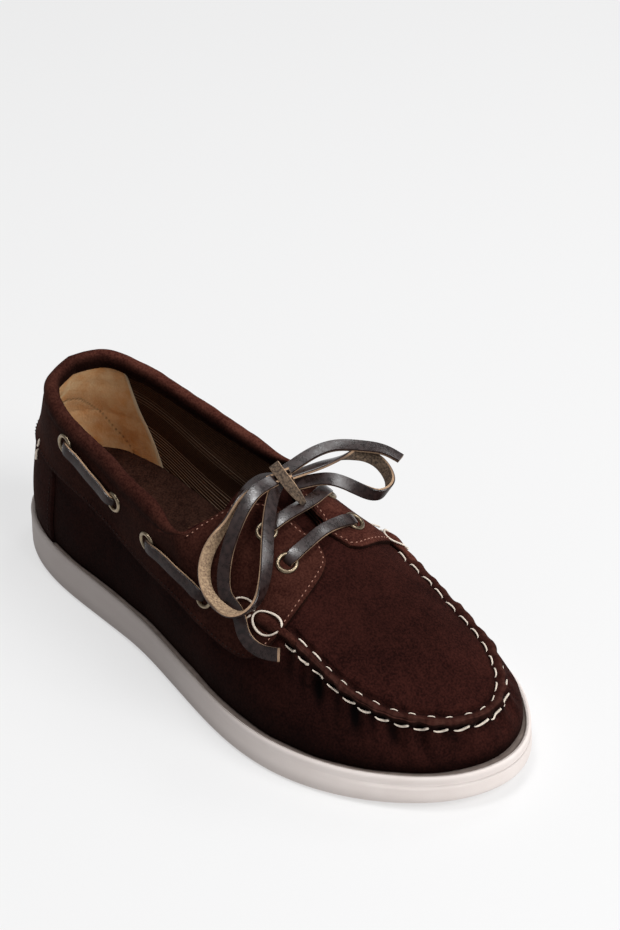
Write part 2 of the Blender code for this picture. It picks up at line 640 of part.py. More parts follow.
def make_bar(name, number, middle, finish):
    """Run of the lace across the throat, from the outer wing's eyelet to the inner one."""
    outer_s, outer_t = eyelet_at(number, False)
    inner_s, inner_t = eyelet_at(number, True)
    lift = EYELET_SEAT + EYELET_HIGH + 1.5 * LACE_THICK + GAP
    rows = np.vstack([skin(outer_s, outer_t, lift), middle, skin(inner_s, inner_t, lift)])
    way = np.linspace(-1, 1, 13)
    path = cubic(np.array([-1.0, 0.0, 1.0]), rows, way)
    leaning = np.where(way[:, None] < 0, outward(outer_s, outer_t), outward(inner_s, inner_t))
    normals = leaning * way[:, None] ** 2 + np.array((0.0, 0.0, 1.0)) * (1 - way[:, None] ** 2)
    return make_thong(name, path, normals, finish)


def make_knot(finish):
    """Overhand wrap of the bow, as one rounded solid."""
    around, up = 12, 6
    angle = np.linspace(0, 2 * np.pi, around, endpoint=False)
    height = np.linspace(-0.5, 0.5, up + 1)[1:-1] * np.pi
    rings = np.stack([np.stack([np.cos(h) * np.cos(angle), np.cos(h) * np.sin(angle),
                                np.full(around, np.sin(h))], -1) for h in height])
    return tube("lace_knot", rings * KNOT_HALF + KNOT, finish)


def make_cord(name, route, finish, sides=2):
    """Free part of the lace: a round tube through a smooth curve of hand-set points."""
    route = np.asarray(route, float)
    at = np.concatenate([[0.0], np.cumsum(np.linalg.norm(np.diff(route, axis=0), axis=1))])
    count = int(at[-1] / (2.2 * CORD)) + 1
    points = (cubic(at, route, np.linspace(0, at[-1], count)) - CENTRE) * MM
    curve = bpy.data.curves.new(name, "CURVE")
    curve.dimensions = "3D"
    curve.bevel_depth = CORD / 2 * MM
    curve.bevel_resolution = sides
    curve.use_fill_caps = True
    line = curve.splines.new("POLY")
    line.points.add(len(points) - 1)
    line.points.foreach_set("co", np.column_stack([points, np.ones(len(points))]).ravel())
    curve.materials.append(finish)
    made = bpy.data.objects.new(name, curve)
    bpy.context.scene.collection.objects.link(made)
    return made


for old in list(bpy.data.objects):
    bpy.data.objects.remove(old, do_unlink=True)

suede = material("dark brown suede", (0.030, 0.010, 0.007), 0.9)
lining = material("brown sock suede", (0.022, 0.012, 0.009), 0.9)
rubber = material("pale rubber", (0.78, 0.70, 0.66), 0.6)
brass = material("antique brass", (0.35, 0.25, 0.14), 0.35, 1.0)
thong = material("waxed leather lace", (0.040, 0.028, 0.028), 0.45)

make_outsole(rubber)
make_insole(lining)
make_upper(suede)
make_tongue(suede)
make_quarter("quarter_outer", False, suede)
make_quarter("quarter_inner", True, suede)
make_back_stay(suede)
make_roll(suede)

for side_name, on_inner in (("outer", False), ("inner", True)):
    for number in range(len(EYELETS)):
        make_eyelet(f"eyelet_{side_name}_{number + 1}", *eyelet_at(number, on_inner), brass)
    make_side_run(f"lace_run_{side_name}_rear", 0, 1, on_inner, thong)
    make_side_run(f"lace_run_{side_name}_front", 2, 3, on_inner, thong)

make_bar("lace_bar_front", FRONT_EYELET, BAR_MIDDLE[FRONT_EYELET], thong)
make_bar("lace_bar_rear", REAR_EYELET, BAR_MIDDLE[REAR_EYELET], thong)
make_knot(thong)
for route_name, route_points in ROUTES.items():
    make_cord(route_name, route_points, thong)
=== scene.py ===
"""Right boat shoe in dark brown suede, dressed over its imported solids.

Shapes are worked out in millimetres with +X to the toe, +Y to the inner side and +Z up, and
become metres round the middle of the shoe when a mesh is made.
"""
import bpy
import bmesh
import numpy as np
from mathutils import Matrix


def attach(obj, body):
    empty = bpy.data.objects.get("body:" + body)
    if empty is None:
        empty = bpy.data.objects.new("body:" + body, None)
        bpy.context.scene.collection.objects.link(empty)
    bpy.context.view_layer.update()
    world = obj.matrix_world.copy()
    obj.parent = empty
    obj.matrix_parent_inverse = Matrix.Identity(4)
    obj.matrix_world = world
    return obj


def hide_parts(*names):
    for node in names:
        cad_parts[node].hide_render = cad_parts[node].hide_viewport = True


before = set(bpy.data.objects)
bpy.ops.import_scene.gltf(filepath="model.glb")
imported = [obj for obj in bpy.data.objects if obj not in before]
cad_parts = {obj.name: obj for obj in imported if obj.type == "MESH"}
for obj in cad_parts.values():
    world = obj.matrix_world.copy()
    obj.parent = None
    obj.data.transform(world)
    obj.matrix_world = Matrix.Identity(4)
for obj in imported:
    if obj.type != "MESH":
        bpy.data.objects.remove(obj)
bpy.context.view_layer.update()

# ------------------------------------------------------------------------------- studio
# Light table of matt white acrylic, its own glow keeping shadows pale; one soft lamp beyond the toe,
# small ones overhead and behind for the gloss and an even pale sky, seen through a long lens.
AIM = np.array((-79.0, 114.33, 0.0))
CAMERA_AWAY = 1192.3
LENS = 91.24
AZIMUTH, HEIGHT, ROLL = np.radians((45.2, 36.0, -1.5))
MM = 0.001


def colour(code):
    """Linear RGBA of an sRGB hex code: each channel through the sRGB curve."""
    part = np.array([int(code[i:i + 2], 16) for i in (1, 3, 5)]) / 255
    linear = np.where(part <= 0.04045, part / 12.92, ((part + 0.055) / 1.055) ** 2.4)
    return (*linear.tolist(), 1.0)


def add(finish, kind, inputs=None, **settings):
    """Shader node with its settings; each input takes a value or the output it is joined to."""
    tree = finish.node_tree
    node = tree.nodes.new("ShaderNode" + kind)
    for name, value in settings.items():
        setattr(node, name, value)
    for name, value in (inputs or {}).items():
        if isinstance(value, bpy.types.NodeSocket):
            tree.links.new(value, node.inputs[name])
        else:
            node.inputs[name].default_value = value
    return node


def new_finish(name, **values):
    """Material of one name, with plain values set on its shader's own sockets."""
    made = bpy.data.materials.new(name)
    made.use_nodes = True
    shader = made.node_tree.nodes["Principled BSDF"]
    for socket, value in values.items():
        shader.inputs[socket.replace("_", " ")].default_value = value
    return made, shader


def join(finish, shader, **outputs):
    """Join node outputs to the shader's sockets of the same names."""
    for socket, output in outputs.items():
        finish.node_tree.links.new(output, shader.inputs[socket.replace("_", " ")])


back = np.array((np.sin(AZIMUTH) * np.cos(HEIGHT), -np.cos(AZIMUTH) * np.cos(HEIGHT), np.sin(HEIGHT)))
level_right = np.array((np.cos(AZIMUTH), np.sin(AZIMUTH), 0.0))
level_up = np.cross(back, level_right)
right = level_right * np.cos(ROLL) + level_up * np.sin(ROLL)
upward = level_up * np.cos(ROLL) - level_right * np.sin(ROLL)
camera = bpy.data.objects.new("camera", bpy.data.cameras.new("camera"))
camera.data.lens = LENS
camera.data.clip_end = 20.0
standing = (AIM + CAMERA_AWAY * back) * MM
camera.matrix_world = Matrix([[*row, place] for row, place in zip(np.stack([right, upward, back], 1).tolist(),
                                                                  standing.tolist())] + [[0, 0, 0, 1]])
bpy.context.scene.collection.objects.link(camera)
bpy.context.scene.camera = camera
bpy.context.scene.view_settings.view_transform = "Standard"

for lamp_name, place, size, watts in (("key", (1.35, 0.25, 1.4), 1.1, 25.0),
                                      ("overhead", (-0.1, -0.15, 1.9), 0.4, 9.0),
                                      ("softbox behind", (-0.3, 1.1, 1.5), 0.5, 3.5)):
    lamp = bpy.data.objects.new(lamp_name, bpy.data.lights.new(lamp_name, "AREA"))
    lamp.data.size = size
    lamp.data.energy = watts
    away = np.array(place) / np.linalg.norm(place)
    side = np.cross((0, 0, 1.0), away)
    side /= np.linalg.norm(side)
    axes = np.stack([side, np.cross(away, side), away], 1).tolist()
    lamp.matrix_world = Matrix([[*row, spot] for row, spot in zip(axes, place)] + [[0, 0, 0, 1]])
    bpy.context.scene.collection.objects.link(lamp)

sky = bpy.data.worlds.new("even pale sky")
sky.use_nodes = True
sky.node_tree.nodes["Background"].inputs["Color"].default_value = colour("#fbfbfd")
sky.node_tree.nodes["Background"].inputs["Strength"].default_value = 0.3
bpy.context.scene.world = sky

acrylic, _ = new_finish("matt white acrylic, lit from behind", Base_Color=colour("#a8a8a8"), Roughness=0.9,
                        Emission_Color=colour("#ffffff"), Emission_Strength=0.51)
floor_mesh = bpy.data.meshes.new("floor")
floor_mesh.from_pydata([(-6, -6, 0), (6, -6, 0), (6, 6, 0), (-6, 6, 0)], [], [(0, 1, 2, 3)])
floor_mesh.materials.append(acrylic)
floor = bpy.data.objects.new("floor", floor_mesh)
bpy.context.scene.collection.objects.link(floor)

# ------------------------------------------------------------------------------- free lace
# Two loops and two ends of the bow: a flat cowhide thong 5.8 mm wide and 1.8 mm thick, skived from
# one hide, dyed and glazed on the grain side, raw and tan on its cut edges, napped underneath.
CENTRE = np.array((-0.6, -4.18, 0.0))
LACE_WIDE, LACE_THICK = 5.8, 1.8
# Round the section from the glazed side: way across, way up, and the finish up to the next point
LACE_SECTION = np.array([
    (2.70, 0.80, 0), (1.20, 0.92, 0), (-1.20, 0.92, 0), (-2.70, 0.80, 0), (-2.90, 0.52, 0), (-2.93, 0.15, 1),
    (-2.90, -0.60, 1), (-2.70, -0.84, 2), (-1.00, -0.90, 2), (1.00, -0.90, 2), (2.70, -0.84, 1),
    (2.90, -0.60, 1), (2.93, 0.15, 0), (2.90, 0.52, 0)])
# Each route from the knot: a point, then the way the glazed side looks there
LOOSE_LACE = {
    "lace_loop_outer": (
        (14.6, -3.0, 97.2, 0.8, -0.1, 0.5),
        (16.3, -6.6, 96.3, 0.8, -0.1, 0.5), (21.4, -14.9, 92.6, 0.8, -0.1, 0.5),
        (26.7, -21.7, 87.9, 0.8, -0.1, 0.5), (33.2, -29.2, 80.4, 0.8, -0.2, 0.4),
        (38.5, -38.0, 71.5, 0.9, 0.0, 0.1), (39.5, -45.0, 67.0, 0.8, 0.1, -0.3),
        (36.0, -50.0, 64.5, 0.5, -0.1, -0.7), (27.0, -51.0, 63.5, 0.1, -0.1, -0.9),
        (15.0, -48.0, 65.5, -0.5, -0.2, -0.7), (8.5, -43.0, 70.5, -0.8, 0.1, -0.5),
        (6.5, -36.5, 78.0, -0.8, 0.1, -0.5), (7.0, -27.5, 86.0, -0.9, -0.3, 0.1),
        (5.5, -18.5, 92.5, -0.7, -0.1, 0.6), (4.5, -9.0, 95.0, -0.3, 0.0, 0.9),
        (6.4, -3.6, 96.5, -0.1, 0.1, 0.9), (9.5, -1.5, 97.2, -0.1, 0.1, 0.9)),
    "lace_end_outer": (
        (13.5, -4.0, 99.0, 0.3, -0.2, 0.9),
        (13.5, -8.2, 99.2, 0.3, -0.2, 0.9), (13.0, -14.0, 98.5, 0.3, -0.4, 0.9),
        (13.5, -21.0, 95.5, 0.2, -0.6, 0.7), (15.0, -29.0, 89.5, 0.2, -0.8, 0.5),
        (16.5, -36.0, 81.0, 0.2, -0.8, 0.5), (19.0, -41.5, 71.5, 0.3, -0.8, 0.5),
        (24.0, -45.0, 64.5, 0.3, -0.8, 0.5), (31.5, -46.0, 60.5, 0.3, -0.8, 0.5),
        (38.0, -49.5, 56.0, 0.3, -0.8, 0.5), (49.0, -51.5, 53.5, 0.2, -0.8, 0.5),
        (60.0, -50.0, 56.0, 0.2, -0.8, 0.5)),
    "lace_loop_inner": (
        (15.2, 3.0, 98.0, -0.2, 0.2, 0.9),
        (16.3, 7.4, 97.8, -0.2, 0.2, 0.9), (19.0, 18.0, 97.6, -0.2, 0.2, 0.9),
        (20.2, 31.0, 95.8, -0.5, 0.4, 0.5), (21.0, 41.0, 92.5, -0.4, 0.6, -0.3),
        (26.0, 46.5, 88.8, -0.2, 0.8, -0.5), (33.5, 45.8, 86.0, 0.1, 0.8, -0.5),
        (39.5, 40.5, 84.2, 0.7, 0.4, -0.5), (39.5, 33.6, 83.7, 0.8, -0.2, -0.1),
        (34.0, 30.0, 84.6, 0.5, -0.6, 0.4), (28.0, 27.5, 86.4, 0.4, -0.4, 0.8),
        (23.0, 23.5, 88.9, 0.4, -0.4, 0.8), (19.8, 16.5, 91.4, 0.3, -0.3, 0.8),
        (17.6, 5.9, 93.8, 0.3, -0.3, 0.8), (16.8, 2.0, 94.8, 0.3, -0.3, 0.8)),
    "lace_end_inner": (
        (12.6, 2.5, 99.3, 0.2, -0.2, 0.9),
        (12.8, 6.2, 99.7, 0.2, -0.2, 0.9), (13.3, 18.0, 100.7, 0.2, -0.2, 0.9),
        (16.0, 31.5, 99.8, 0.2, -0.2, 0.9), (22.0, 42.0, 96.8, 0.3, -0.1, 0.9),
        (28.5, 50.2, 93.2, 0.3, 0.1, 0.9), (35.0, 53.0, 90.5, 0.3, 0.2, 0.9)),
}


def cubic(at, values, where, closed=False):
    """Cubic spline through the rows, from the tridiagonal system of its slopes."""
    values = np.asarray(values, float).reshape(len(at), -1)
    step = np.diff(at)
    slope = np.diff(values, axis=0) / step[:, None]
    matrix = np.eye(len(at))
    known = np.zeros_like(values)
    for i in range(1, len(at) - 1):
        matrix[i, i - 1:i + 2] = 1 / step[i - 1], 2 / step[i - 1] + 2 / step[i], 1 / step[i]
        known[i] = 3 * (slope[i - 1] / step[i - 1] + slope[i] / step[i])
    if closed:
        matrix[0, [0, 1, -2]] = 2 / step[0] + 2 / step[-1], 1 / step[0], 1 / step[-1]
        known[0] = 3 * (slope[0] / step[0] + slope[-1] / step[-1])
        matrix[-1, 0] = -1
    else:
        matrix[0, :2] = 2, 1
        known[0] = 3 * slope[0]
        matrix[-1, -2:] = 1, 2
        known[-1] = 3 * slope[-1]
    return hermite(at, values, np.linalg.solve(matrix, known), where)


def hermite(at, values, tangent, where):
    """Cubic piece between two rows from their values and slopes."""
    where = np.asarray(where, float)
    i = np.clip(np.searchsorted(at, where, side="right") - 1, 0, len(at) - 2)
    step = (at[i + 1] - at[i])[..., None]
    f = ((where - at[i]) / (at[i + 1] - at[i]))[..., None]
    return (values[i] * (1 + 2 * f) * (1 - f) ** 2 + values[i + 1] * f * f * (3 - 2 * f)
            + step * (tangent[i] * f * (1 - f) ** 2 - tangent[i + 1] * f * f * (1 - f)))


def unit(ways):
    """Each vector over its own length."""
    return ways / np.linalg.norm(ways, axis=-1, keepdims=True)


def grid_faces(rows, columns, round_rows=False, round_columns=False):
    """Quads of a grid whose points are numbered row by row, joined round where asked."""
    i = np.arange(rows if round_rows else rows - 1)[:, None]
    j = np.arange(columns if round_columns else columns - 1)
    k, m = (i + 1) % rows, (j + 1) % columns
    corners = np.broadcast_arrays(i * columns + j, k * columns + j, k * columns + m, i * columns + m)
    return np.stack(corners, -1).reshape(-1, 4)


def make_piece(name, points, faces, finishes, which=None, caps=(), slot=None, replaced=(), weld=False,
               **values):
    """Object at the origin from points in millimetres.

    Quads come first and caps of any number of corners after them; which numbers the finish of
    each quad.  Each further named grid of values becomes an attribute of the points.
    """
    place = (np.asarray(points, float).reshape(-1, 3) - CENTRE) * MM
    mesh = bpy.data.meshes.new(name)
    mesh.from_pydata(place.tolist(), [], faces.tolist() + [list(cap) for cap in caps])
    for finish in finishes:
        mesh.materials.append(finish)
    if which is not None:
        numbers = np.zeros(len(mesh.polygons), np.int32)
        numbers[:len(which)] = which
        numbers[len(which):] = 1
        mesh.polygons.foreach_set("material_index", numbers)
    for label, grid in values.items():
        held = mesh.attributes.new(label, "FLOAT", "POINT")
        held.data.foreach_set("value", np.ravel(grid).astype(np.float32))
    if weld:
        shape = bmesh.new()
        shape.from_mesh(mesh)
        bmesh.ops.remove_doubles(shape, verts=shape.verts, dist=0.000002)
        shape.to_mesh(mesh)
        shape.free()
    mesh.shade_smooth()
    made = bpy.data.objects.new(name, mesh)
    bpy.context.scene.collection.objects.link(made)
    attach(made, "root")
    if replaced:
        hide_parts(*replaced)
    return made


def strap(name, path, face, under, replaced=(), round_path=False, narrowing=1.0):
    """Flat lace carried square to a path, glazed side to face: its width is the section's times narrowing."""
    forward = unit(np.gradient(path, axis=0))
    if round_path:
        forward = unit(np.roll(path, -1, 0) - np.roll(path, 1, 0))
    face = unit(face - np.sum(face * forward, -1, keepdims=True) * forward)
    across = np.cross(face, forward) * np.broadcast_to(narrowing, len(path))[:, None]
    rings = path[:, None] + LACE_SECTION[:, :1] * across[:, None] + LACE_SECTION[:, 1:2] * face[:, None]
    around = len(LACE_SECTION)
    faces = grid_faces(len(path), around, round_path, True)
    which = np.tile(LACE_SECTION[:, 2].astype(int), len(path) if round_path else len(path) - 1)
    last = (len(path) - 1) * around
    caps = () if round_path else (range(around)[::-1], range(last, last + around))
    made = make_piece(name, rings, faces[:, ::-1], (glazed, raw_edge, under), which, caps,
                      slot="lace", replaced=replaced)
    made.data.set_sharp_from_angle(angle=np.radians(38))
    return made


# Glazed grain of drum-dyed cowhide: near black brown, a hard low gloss with a little crazing.
glazed, shader = new_finish("drum-dyed cowhide, glazed grain", IOR=1.5)
where = add(glazed, "TexCoord")
streak = add(glazed, "TexNoise", {"Vector": where.outputs["Object"], "Scale": 420.0, "Detail": 4.0})
worn = add(glazed, "MapRange", {"Value": streak.outputs["Fac"], "From Min": 0.35, "From Max": 0.75})
tone = add(glazed, "Mix", {0: worn.outputs[0], 6: colour("#1d1312"), 7: colour("#372826")}, data_type="RGBA")
gloss = add(glazed, "MapRange", {"Value": streak.outputs["Fac"], "From Min": 0.3, "From Max": 0.7,
                                 "To Min": 0.22, "To Max": 0.36})
craze = add(glazed, "TexVoronoi", {"Vector": where.outputs["Object"], "Scale": 1300.0})
dent = add(glazed, "Bump", {"Strength": 0.25, "Distance": 0.0001, "Height": craze.outputs["Distance"]})
# painted reflection: the gloss is strong where the glaze faces up and weak on its sides
facing = add(glazed, "SeparateXYZ", {"Vector": where.outputs["Normal"]})
painted_gloss_by_facing = add(glazed, "MapRange", {"Value": facing.outputs["Z"], "From Min": 0.3, "From Max": 0.85,
                                  "To Min": 0.1, "To Max": 0.8})
join(glazed, shader, Specular_IOR_Level=painted_gloss_by_facing.outputs[0], Base_Color=tone.outputs[2],
     Roughness=gloss.outputs[0], Normal=dent.outputs[0])

# Knife-cut edge of the hide: bare tan fibre, slightly torn.
raw_edge, shader = new_finish("cut cowhide edge, undyed fibre", Roughness=0.85)
where = add(raw_edge, "TexCoord")
fibre = add(raw_edge, "TexNoise", {"Vector": where.outputs["Object"], "Scale": 900.0, "Detail": 3.0})
tone = add(raw_edge, "Mix", {0: fibre.outputs["Fac"], 6: colour("#8a6a50"), 7: colour("#dcb996")},
           data_type="RGBA")
stretch = add(raw_edge, "TexNoise", {"Vector": where.outputs["Object"], "Scale": 45.0, "Detail": 1.0})
soaked = add(raw_edge, "MapRange", {"Value": stretch.outputs["Fac"], "From Min": 0.45, "From Max": 0.62})
tone = add(raw_edge, "Mix", {0: soaked.outputs[0], 6: tone.outputs[2], 7: colour("#4d3a2e")},
           data_type="RGBA")
dent = add(raw_edge, "Bump", {"Strength": 0.6, "Distance": 0.0003, "Height": fibre.outputs["Fac"]})
join(raw_edge, shader, Base_Color=tone.outputs[2], Normal=dent.outputs[0])


# Flesh side of the same hide: mottled nap that the dye took unevenly, near grey brown in places.
def make_flesh(name, dark, light):
    """Napped flesh side: two tones parted by a fine noise, and a bump of the same."""
    made, shader = new_finish(name, Roughness=0.95)
    where = add(made, "TexCoord")
    blotch = add(made, "TexNoise", {"Vector": where.outputs["Object"], "Scale": 1000.0, "Detail": 5.0,
                                    "Roughness": 0.7})
    take = add(made, "MapRange", {"Value": blotch.outputs["Fac"], "From Min": 0.4, "From Max": 0.6})
    tone = add(made, "Mix", {0: take.outputs[0], 6: colour(dark), 7: colour(light)}, data_type="RGBA")
    dent = add(made, "Bump", {"Strength": 0.8, "Distance": 0.0003, "Height": blotch.outputs["Fac"]})
    join(made, shader, Base_Color=tone.outputs[2], Normal=dent.outputs[0])
    return made


pale_flesh = make_flesh("cowhide flesh side, napped and pale", "#7c6450", "#bda181")
# a darker copy of the same flesh side: painted shade for the knot's wrap and bundle, the inner strands and
# the sewn runs
shaded_flesh = make_flesh("cowhide flesh side, darkened as painted shade", "#3a2e26", "#776452")


def lay_route(rows, spacing):
    """Points and glazed side along a given route: a cubic spline over the chord lengths."""
    rows = np.asarray(rows, float)
    at = np.concatenate([[0.0], np.cumsum(np.linalg.norm(np.diff(rows[:, :3], axis=0), axis=1))])
    smooth = cubic(at, rows, np.linspace(0, at[-1], int(at[-1] / spacing) + 2))
    return smooth[:, :3], smooth[:, 3:]


# The wrap of the bow is one long turn of the same thong, flesh side out, slanting over a bundle of
# four and drawn to a narrow fold at its lower end.
KNOT = np.array((13.5, -0.5, 97.6))
BUNDLE_WAY = unit(np.array((0.52, 0.80, 0.30)))
turn = np.linspace(0, 2 * np.pi, 60, endpoint=False)[:, None]
wrap_down = np.array((0.76, 0.08, -0.65))
wrap_front = unit(np.cross(wrap_down, BUNDLE_WAY))
wrap_out = -10.0 * np.cos(turn) * wrap_down - 4.9 * np.sin(turn) * wrap_front
wrap = strap("lace_wrap", KNOT + (3.4, 1.6, -1.8) + wrap_out, -wrap_out, shaded_flesh, ("lace_knot",),
             round_path=True, narrowing=0.84 - 0.4 * np.clip(-np.cos(turn[:, 0]), 0, 1) ** 2)
wrap_high = unit(np.cross(BUNDLE_WAY, (0.57, -0.57, 0.59)))
# Strands in the wrap: millimetres up and forwards of its middle, and how far each one leans
STRANDS = ((2.2, -0.8, 0.3), (0.4, 1.6, -0.2), (-1.6, 0.2, 0.4), (-0.2, -2.2, 0.1))
for number, (rise, forth, lean) in enumerate(STRANDS):
    f = np.linspace(-1, 1, 9)[:, None]
    run = KNOT + 5.2 * f * BUNDLE_WAY + rise * wrap_high + forth * wrap_front
    strap(f"lace_bundle_{number + 1}", run, np.repeat([wrap_high + lean * wrap_front], 9, 0),
                        shaded_flesh)

for lace_name, route in LOOSE_LACE.items():
    path, face = lay_route(route, 0.9)
    under = pale_flesh if "outer" in lace_name else shaded_flesh
    made = strap(lace_name + "_thong", path, face, under, (lace_name,))

# ------------------------------------------------------------------------------- upper
# One hollow shell of brown cow suede, nap out: a vamp wall gathered to a plug round the toe by a
# hand-sewn moccasin seam, and plain quarters behind, drawn down under the sole's ledge.
# The sole's outline: half widths either side of the long axis
OUTLINE = np.array([
    # x      outer  inner
    (-148.5, 0.0, 0.0), (-142.0, 18.6, 18.0), (-128.0, 30.5, 28.4), (-105.0, 39.0, 33.0),
    (-70.0, 43.2, 30.6), (-35.0, 46.9, 30.0), (0.0, 54.4, 35.8), (32.0, 61.2, 48.0),
    (60.0, 62.6, 54.4), (92.0, 55.4, 50.2), (120.0, 40.6, 40.0), (139.0, 22.2, 24.6),
    (147.3, -2.0, 2.0)])
# The side of the upper from the ledge to the break, where the seam runs
SIDES = np.array([
    # at x  ledge  sole top  inset outer  inset inner  break z  foot lean  wall lean  top lean
    (-148.5, 4.4, 20.6, 7.6, 7.6, 60.0, 95.0, 82.0, 66.0),
    (-128.0, 4.3, 20.3, 8.2, 7.0, 59.0, 95.0, 82.0, 70.0),
    (-105.0, 4.3, 20.0, 8.6, 5.0, 57.0, 95.0, 85.0, 82.0),
    (-70.0, 4.6, 19.2, 8.6, 3.0, 54.0, 95.0, 85.0, 85.0),
    (-35.0, 4.8, 18.4, 8.0, 1.5, 52.0, 96.0, 82.0, 82.0),
    (0.0, 5.0, 17.4, 11.4, 4.0, 53.0, 98.0, 76.0, 72.0),
    (32.0, 5.2, 16.8, 17.6, 11.0, 55.5, 99.0, 68.0, 52.0),
    (60.0, 5.0, 16.6, 19.6, 17.0, 52.5, 100.0, 66.0, 42.0),
    (92.0, 4.6, 16.4, 17.8, 16.5, 45.0, 102.0, 66.0, 36.0),
    (120.0, 4.6, 17.2, 15.0, 14.0, 38.5, 102.0, 66.0, 32.0),
    (139.0, 5.2, 18.0, 13.7, 13.5, 35.5, 102.0, 66.0, 32.0),
    (147.3, 5.6, 18.6, 13.0, 13.0, 34.5, 102.0, 66.0, 32.0)])
# Where each rib ends: the collar, the wings' rear edge, the throat, then the vamp's middle line
TOPLINE = np.array([
    # at x     x      outer  inner  z     lean
    (-148.5, -125.8, 0.0, 0.0, 95.6, 78.0), (-142.0, -121.6, 15.0, 14.0, 94.9, 78.0),
    (-128.0, -112.8, 23.0, 21.0, 92.4, 78.0), (-105.0, -97.0, 28.4, 25.5, 89.3, 80.0),
    (-70.0, -69.0, 31.5, 28.0, 84.2, 80.0), (-35.0, -42.0, 35.5, 29.5, 80.0, 75.0),
    (-8.0, -11.0, 38.5, 29.0, 78.0, 62.0), (4.0, -5.0, 28.0, 23.0, 81.5, 34.0),
    (12.0, -1.0, 14.0, 14.0, 85.2, 18.0), (20.0, 5.0, 4.0, 8.0, 86.4, 5.0),
    (40.0, 31.0, 4.5, 5.5, 79.8, 3.0), (46.0, 36.0, 0.0, 0.0, 78.2, 0.0),
    (60.0, 50.0, 0.0, 0.0, 73.0, 0.0), (92.0, 78.0, 0.0, 0.0, 61.5, 0.0),
    (120.0, 96.0, 0.0, 0.0, 53.5, 8.0), (139.0, 104.0, 0.0, 0.0, 49.8, 16.0),
    (147.3, 107.0, 0.0, 0.0, 48.3, 20.0)])
COLLAR_END, THROAT_FRONT, WING_LOW, WING_SAG = -8.0, 46.0, 16.0, 0.07
WALL, ROLL_SINK, ROLL_UP, ROLL_ACROSS, GAP = 2.0, 1.2, 5.0, 3.6, 0.3
SEAM_START, SEAM_HEIGHT, SEAM_STITCHES = 54.0, 2.5, 24
LOOP = np.vstack([OUTLINE[:, :2] * (1, -1), OUTLINE[-2::-1, [0, 2]]])
KNOTS = np.concatenate([[0.0], np.cumsum(np.linalg.norm(np.diff(LOOP, axis=0), axis=1))])
ROWS = len(OUTLINE)
TOE, ROUND = KNOTS[ROWS - 1], KNOTS[-1]
SHARES = (KNOTS[:ROWS] / TOE + (ROUND - KNOTS[ROWS - 1:])[::-1] / (ROUND - TOE)) / 2


def share(x):
    """Way from heel, 0, to toe, 1, along the edge, for an x of the sole."""
    return np.interp(x, OUTLINE[:, 0], SHARES)


def folded(s):
    """s runs 0 heel, 1 toe by the outer side, 2 heel by the inner; this is 0 to 1 on both."""
    s = np.mod(s, 2.0)
    return np.where(s <= 1, s, 2 - s)


def all_round(half):
    """Ways round the whole shoe from those of its outer half: the same again, back by the inner side."""
    return np.concatenate([half, 2 - half[-2:0:-1]])


def blend(x, start, end):
    """0 before start, 1 after end, and f f (3 - 2 f) between."""
    f = np.clip((x - start) / (end - start), 0, 1)
    return f * f * (3 - 2 * f)


def level(at, values, where):
    """Monotone cubic through the rows: slopes are weighted harmonic means, level at the ends."""
    values = np.asarray(values, float).reshape(len(at), -1)
    step = np.diff(at)[:, None]
    slope = np.diff(values, axis=0) / step
    before, after = slope[:-1], slope[1:]
    same = before * after > 0
    first, second = 2 * step[1:] + step[:-1], step[1:] + 2 * step[:-1]
    tangent = np.zeros_like(values)
    mean = (first + second) / (first / np.where(same, before, 1.0) + second / np.where(same, after, 1.0))
    tangent[1:-1] = np.where(same, mean, 0.0)
    return hermite(at, values, tangent, where)


def outline(s):
    """Point of the sole's outline at s, and the way inwards, a quarter turn from its tangent."""
    s = np.mod(s, 2.0)
    along = np.where(s <= 1, s * TOE, TOE + (s - 1) * (ROUND - TOE))
    point = cubic(KNOTS, LOOP, along, True)
    ahead = cubic(KNOTS, LOOP, np.mod(along + 0.05, ROUND), True)
    behind = cubic(KNOTS, LOOP, np.mod(along - 0.05, ROUND), True)
    tangent = unit(ahead - behind)
    return point, np.stack([-tangent[..., 1], tangent[..., 0]], -1)


def bezier(points, f):
    """Cubic Bezier curve: the four points weighted by the Bernstein polynomials of f."""
    f = f[..., None]
    return (points[0] * (1 - f) ** 3 + 3 * points[1] * f * (1 - f) ** 2
            + 3 * points[2] * f * f * (1 - f) + points[3] * f ** 3)


def rib_ends(s):
    """Foot, break and top of the rib at s, and the leans there in radians."""
    u, inner = folded(s), np.mod(s, 2.0) > 1
    edge, inward = outline(s)
    side = level(share(SIDES[:, 0]), SIDES[:, 1:], u)
    top = level(share(TOPLINE[:, 0]), TOPLINE[:, 1:], u)
    ledge, sole_top, inset_outer, inset_inner, break_z = np.moveaxis(side[..., :5], -1, 0)
    inset = np.where(inner, inset_inner, inset_outer)
    foot = np.concatenate([edge + inward * ledge[..., None], sole_top[..., None]], -1)
    seam = np.concatenate([edge + inward * inset[..., None], break_z[..., None]], -1)
    end = np.stack([top[..., 0], np.where(inner, top[..., 2], -top[..., 1]), top[..., 3]], -1)
    return u, inner, inward, foot, seam, end, np.radians(np.concatenate([side[..., 5:], top[..., 4:]], -1))


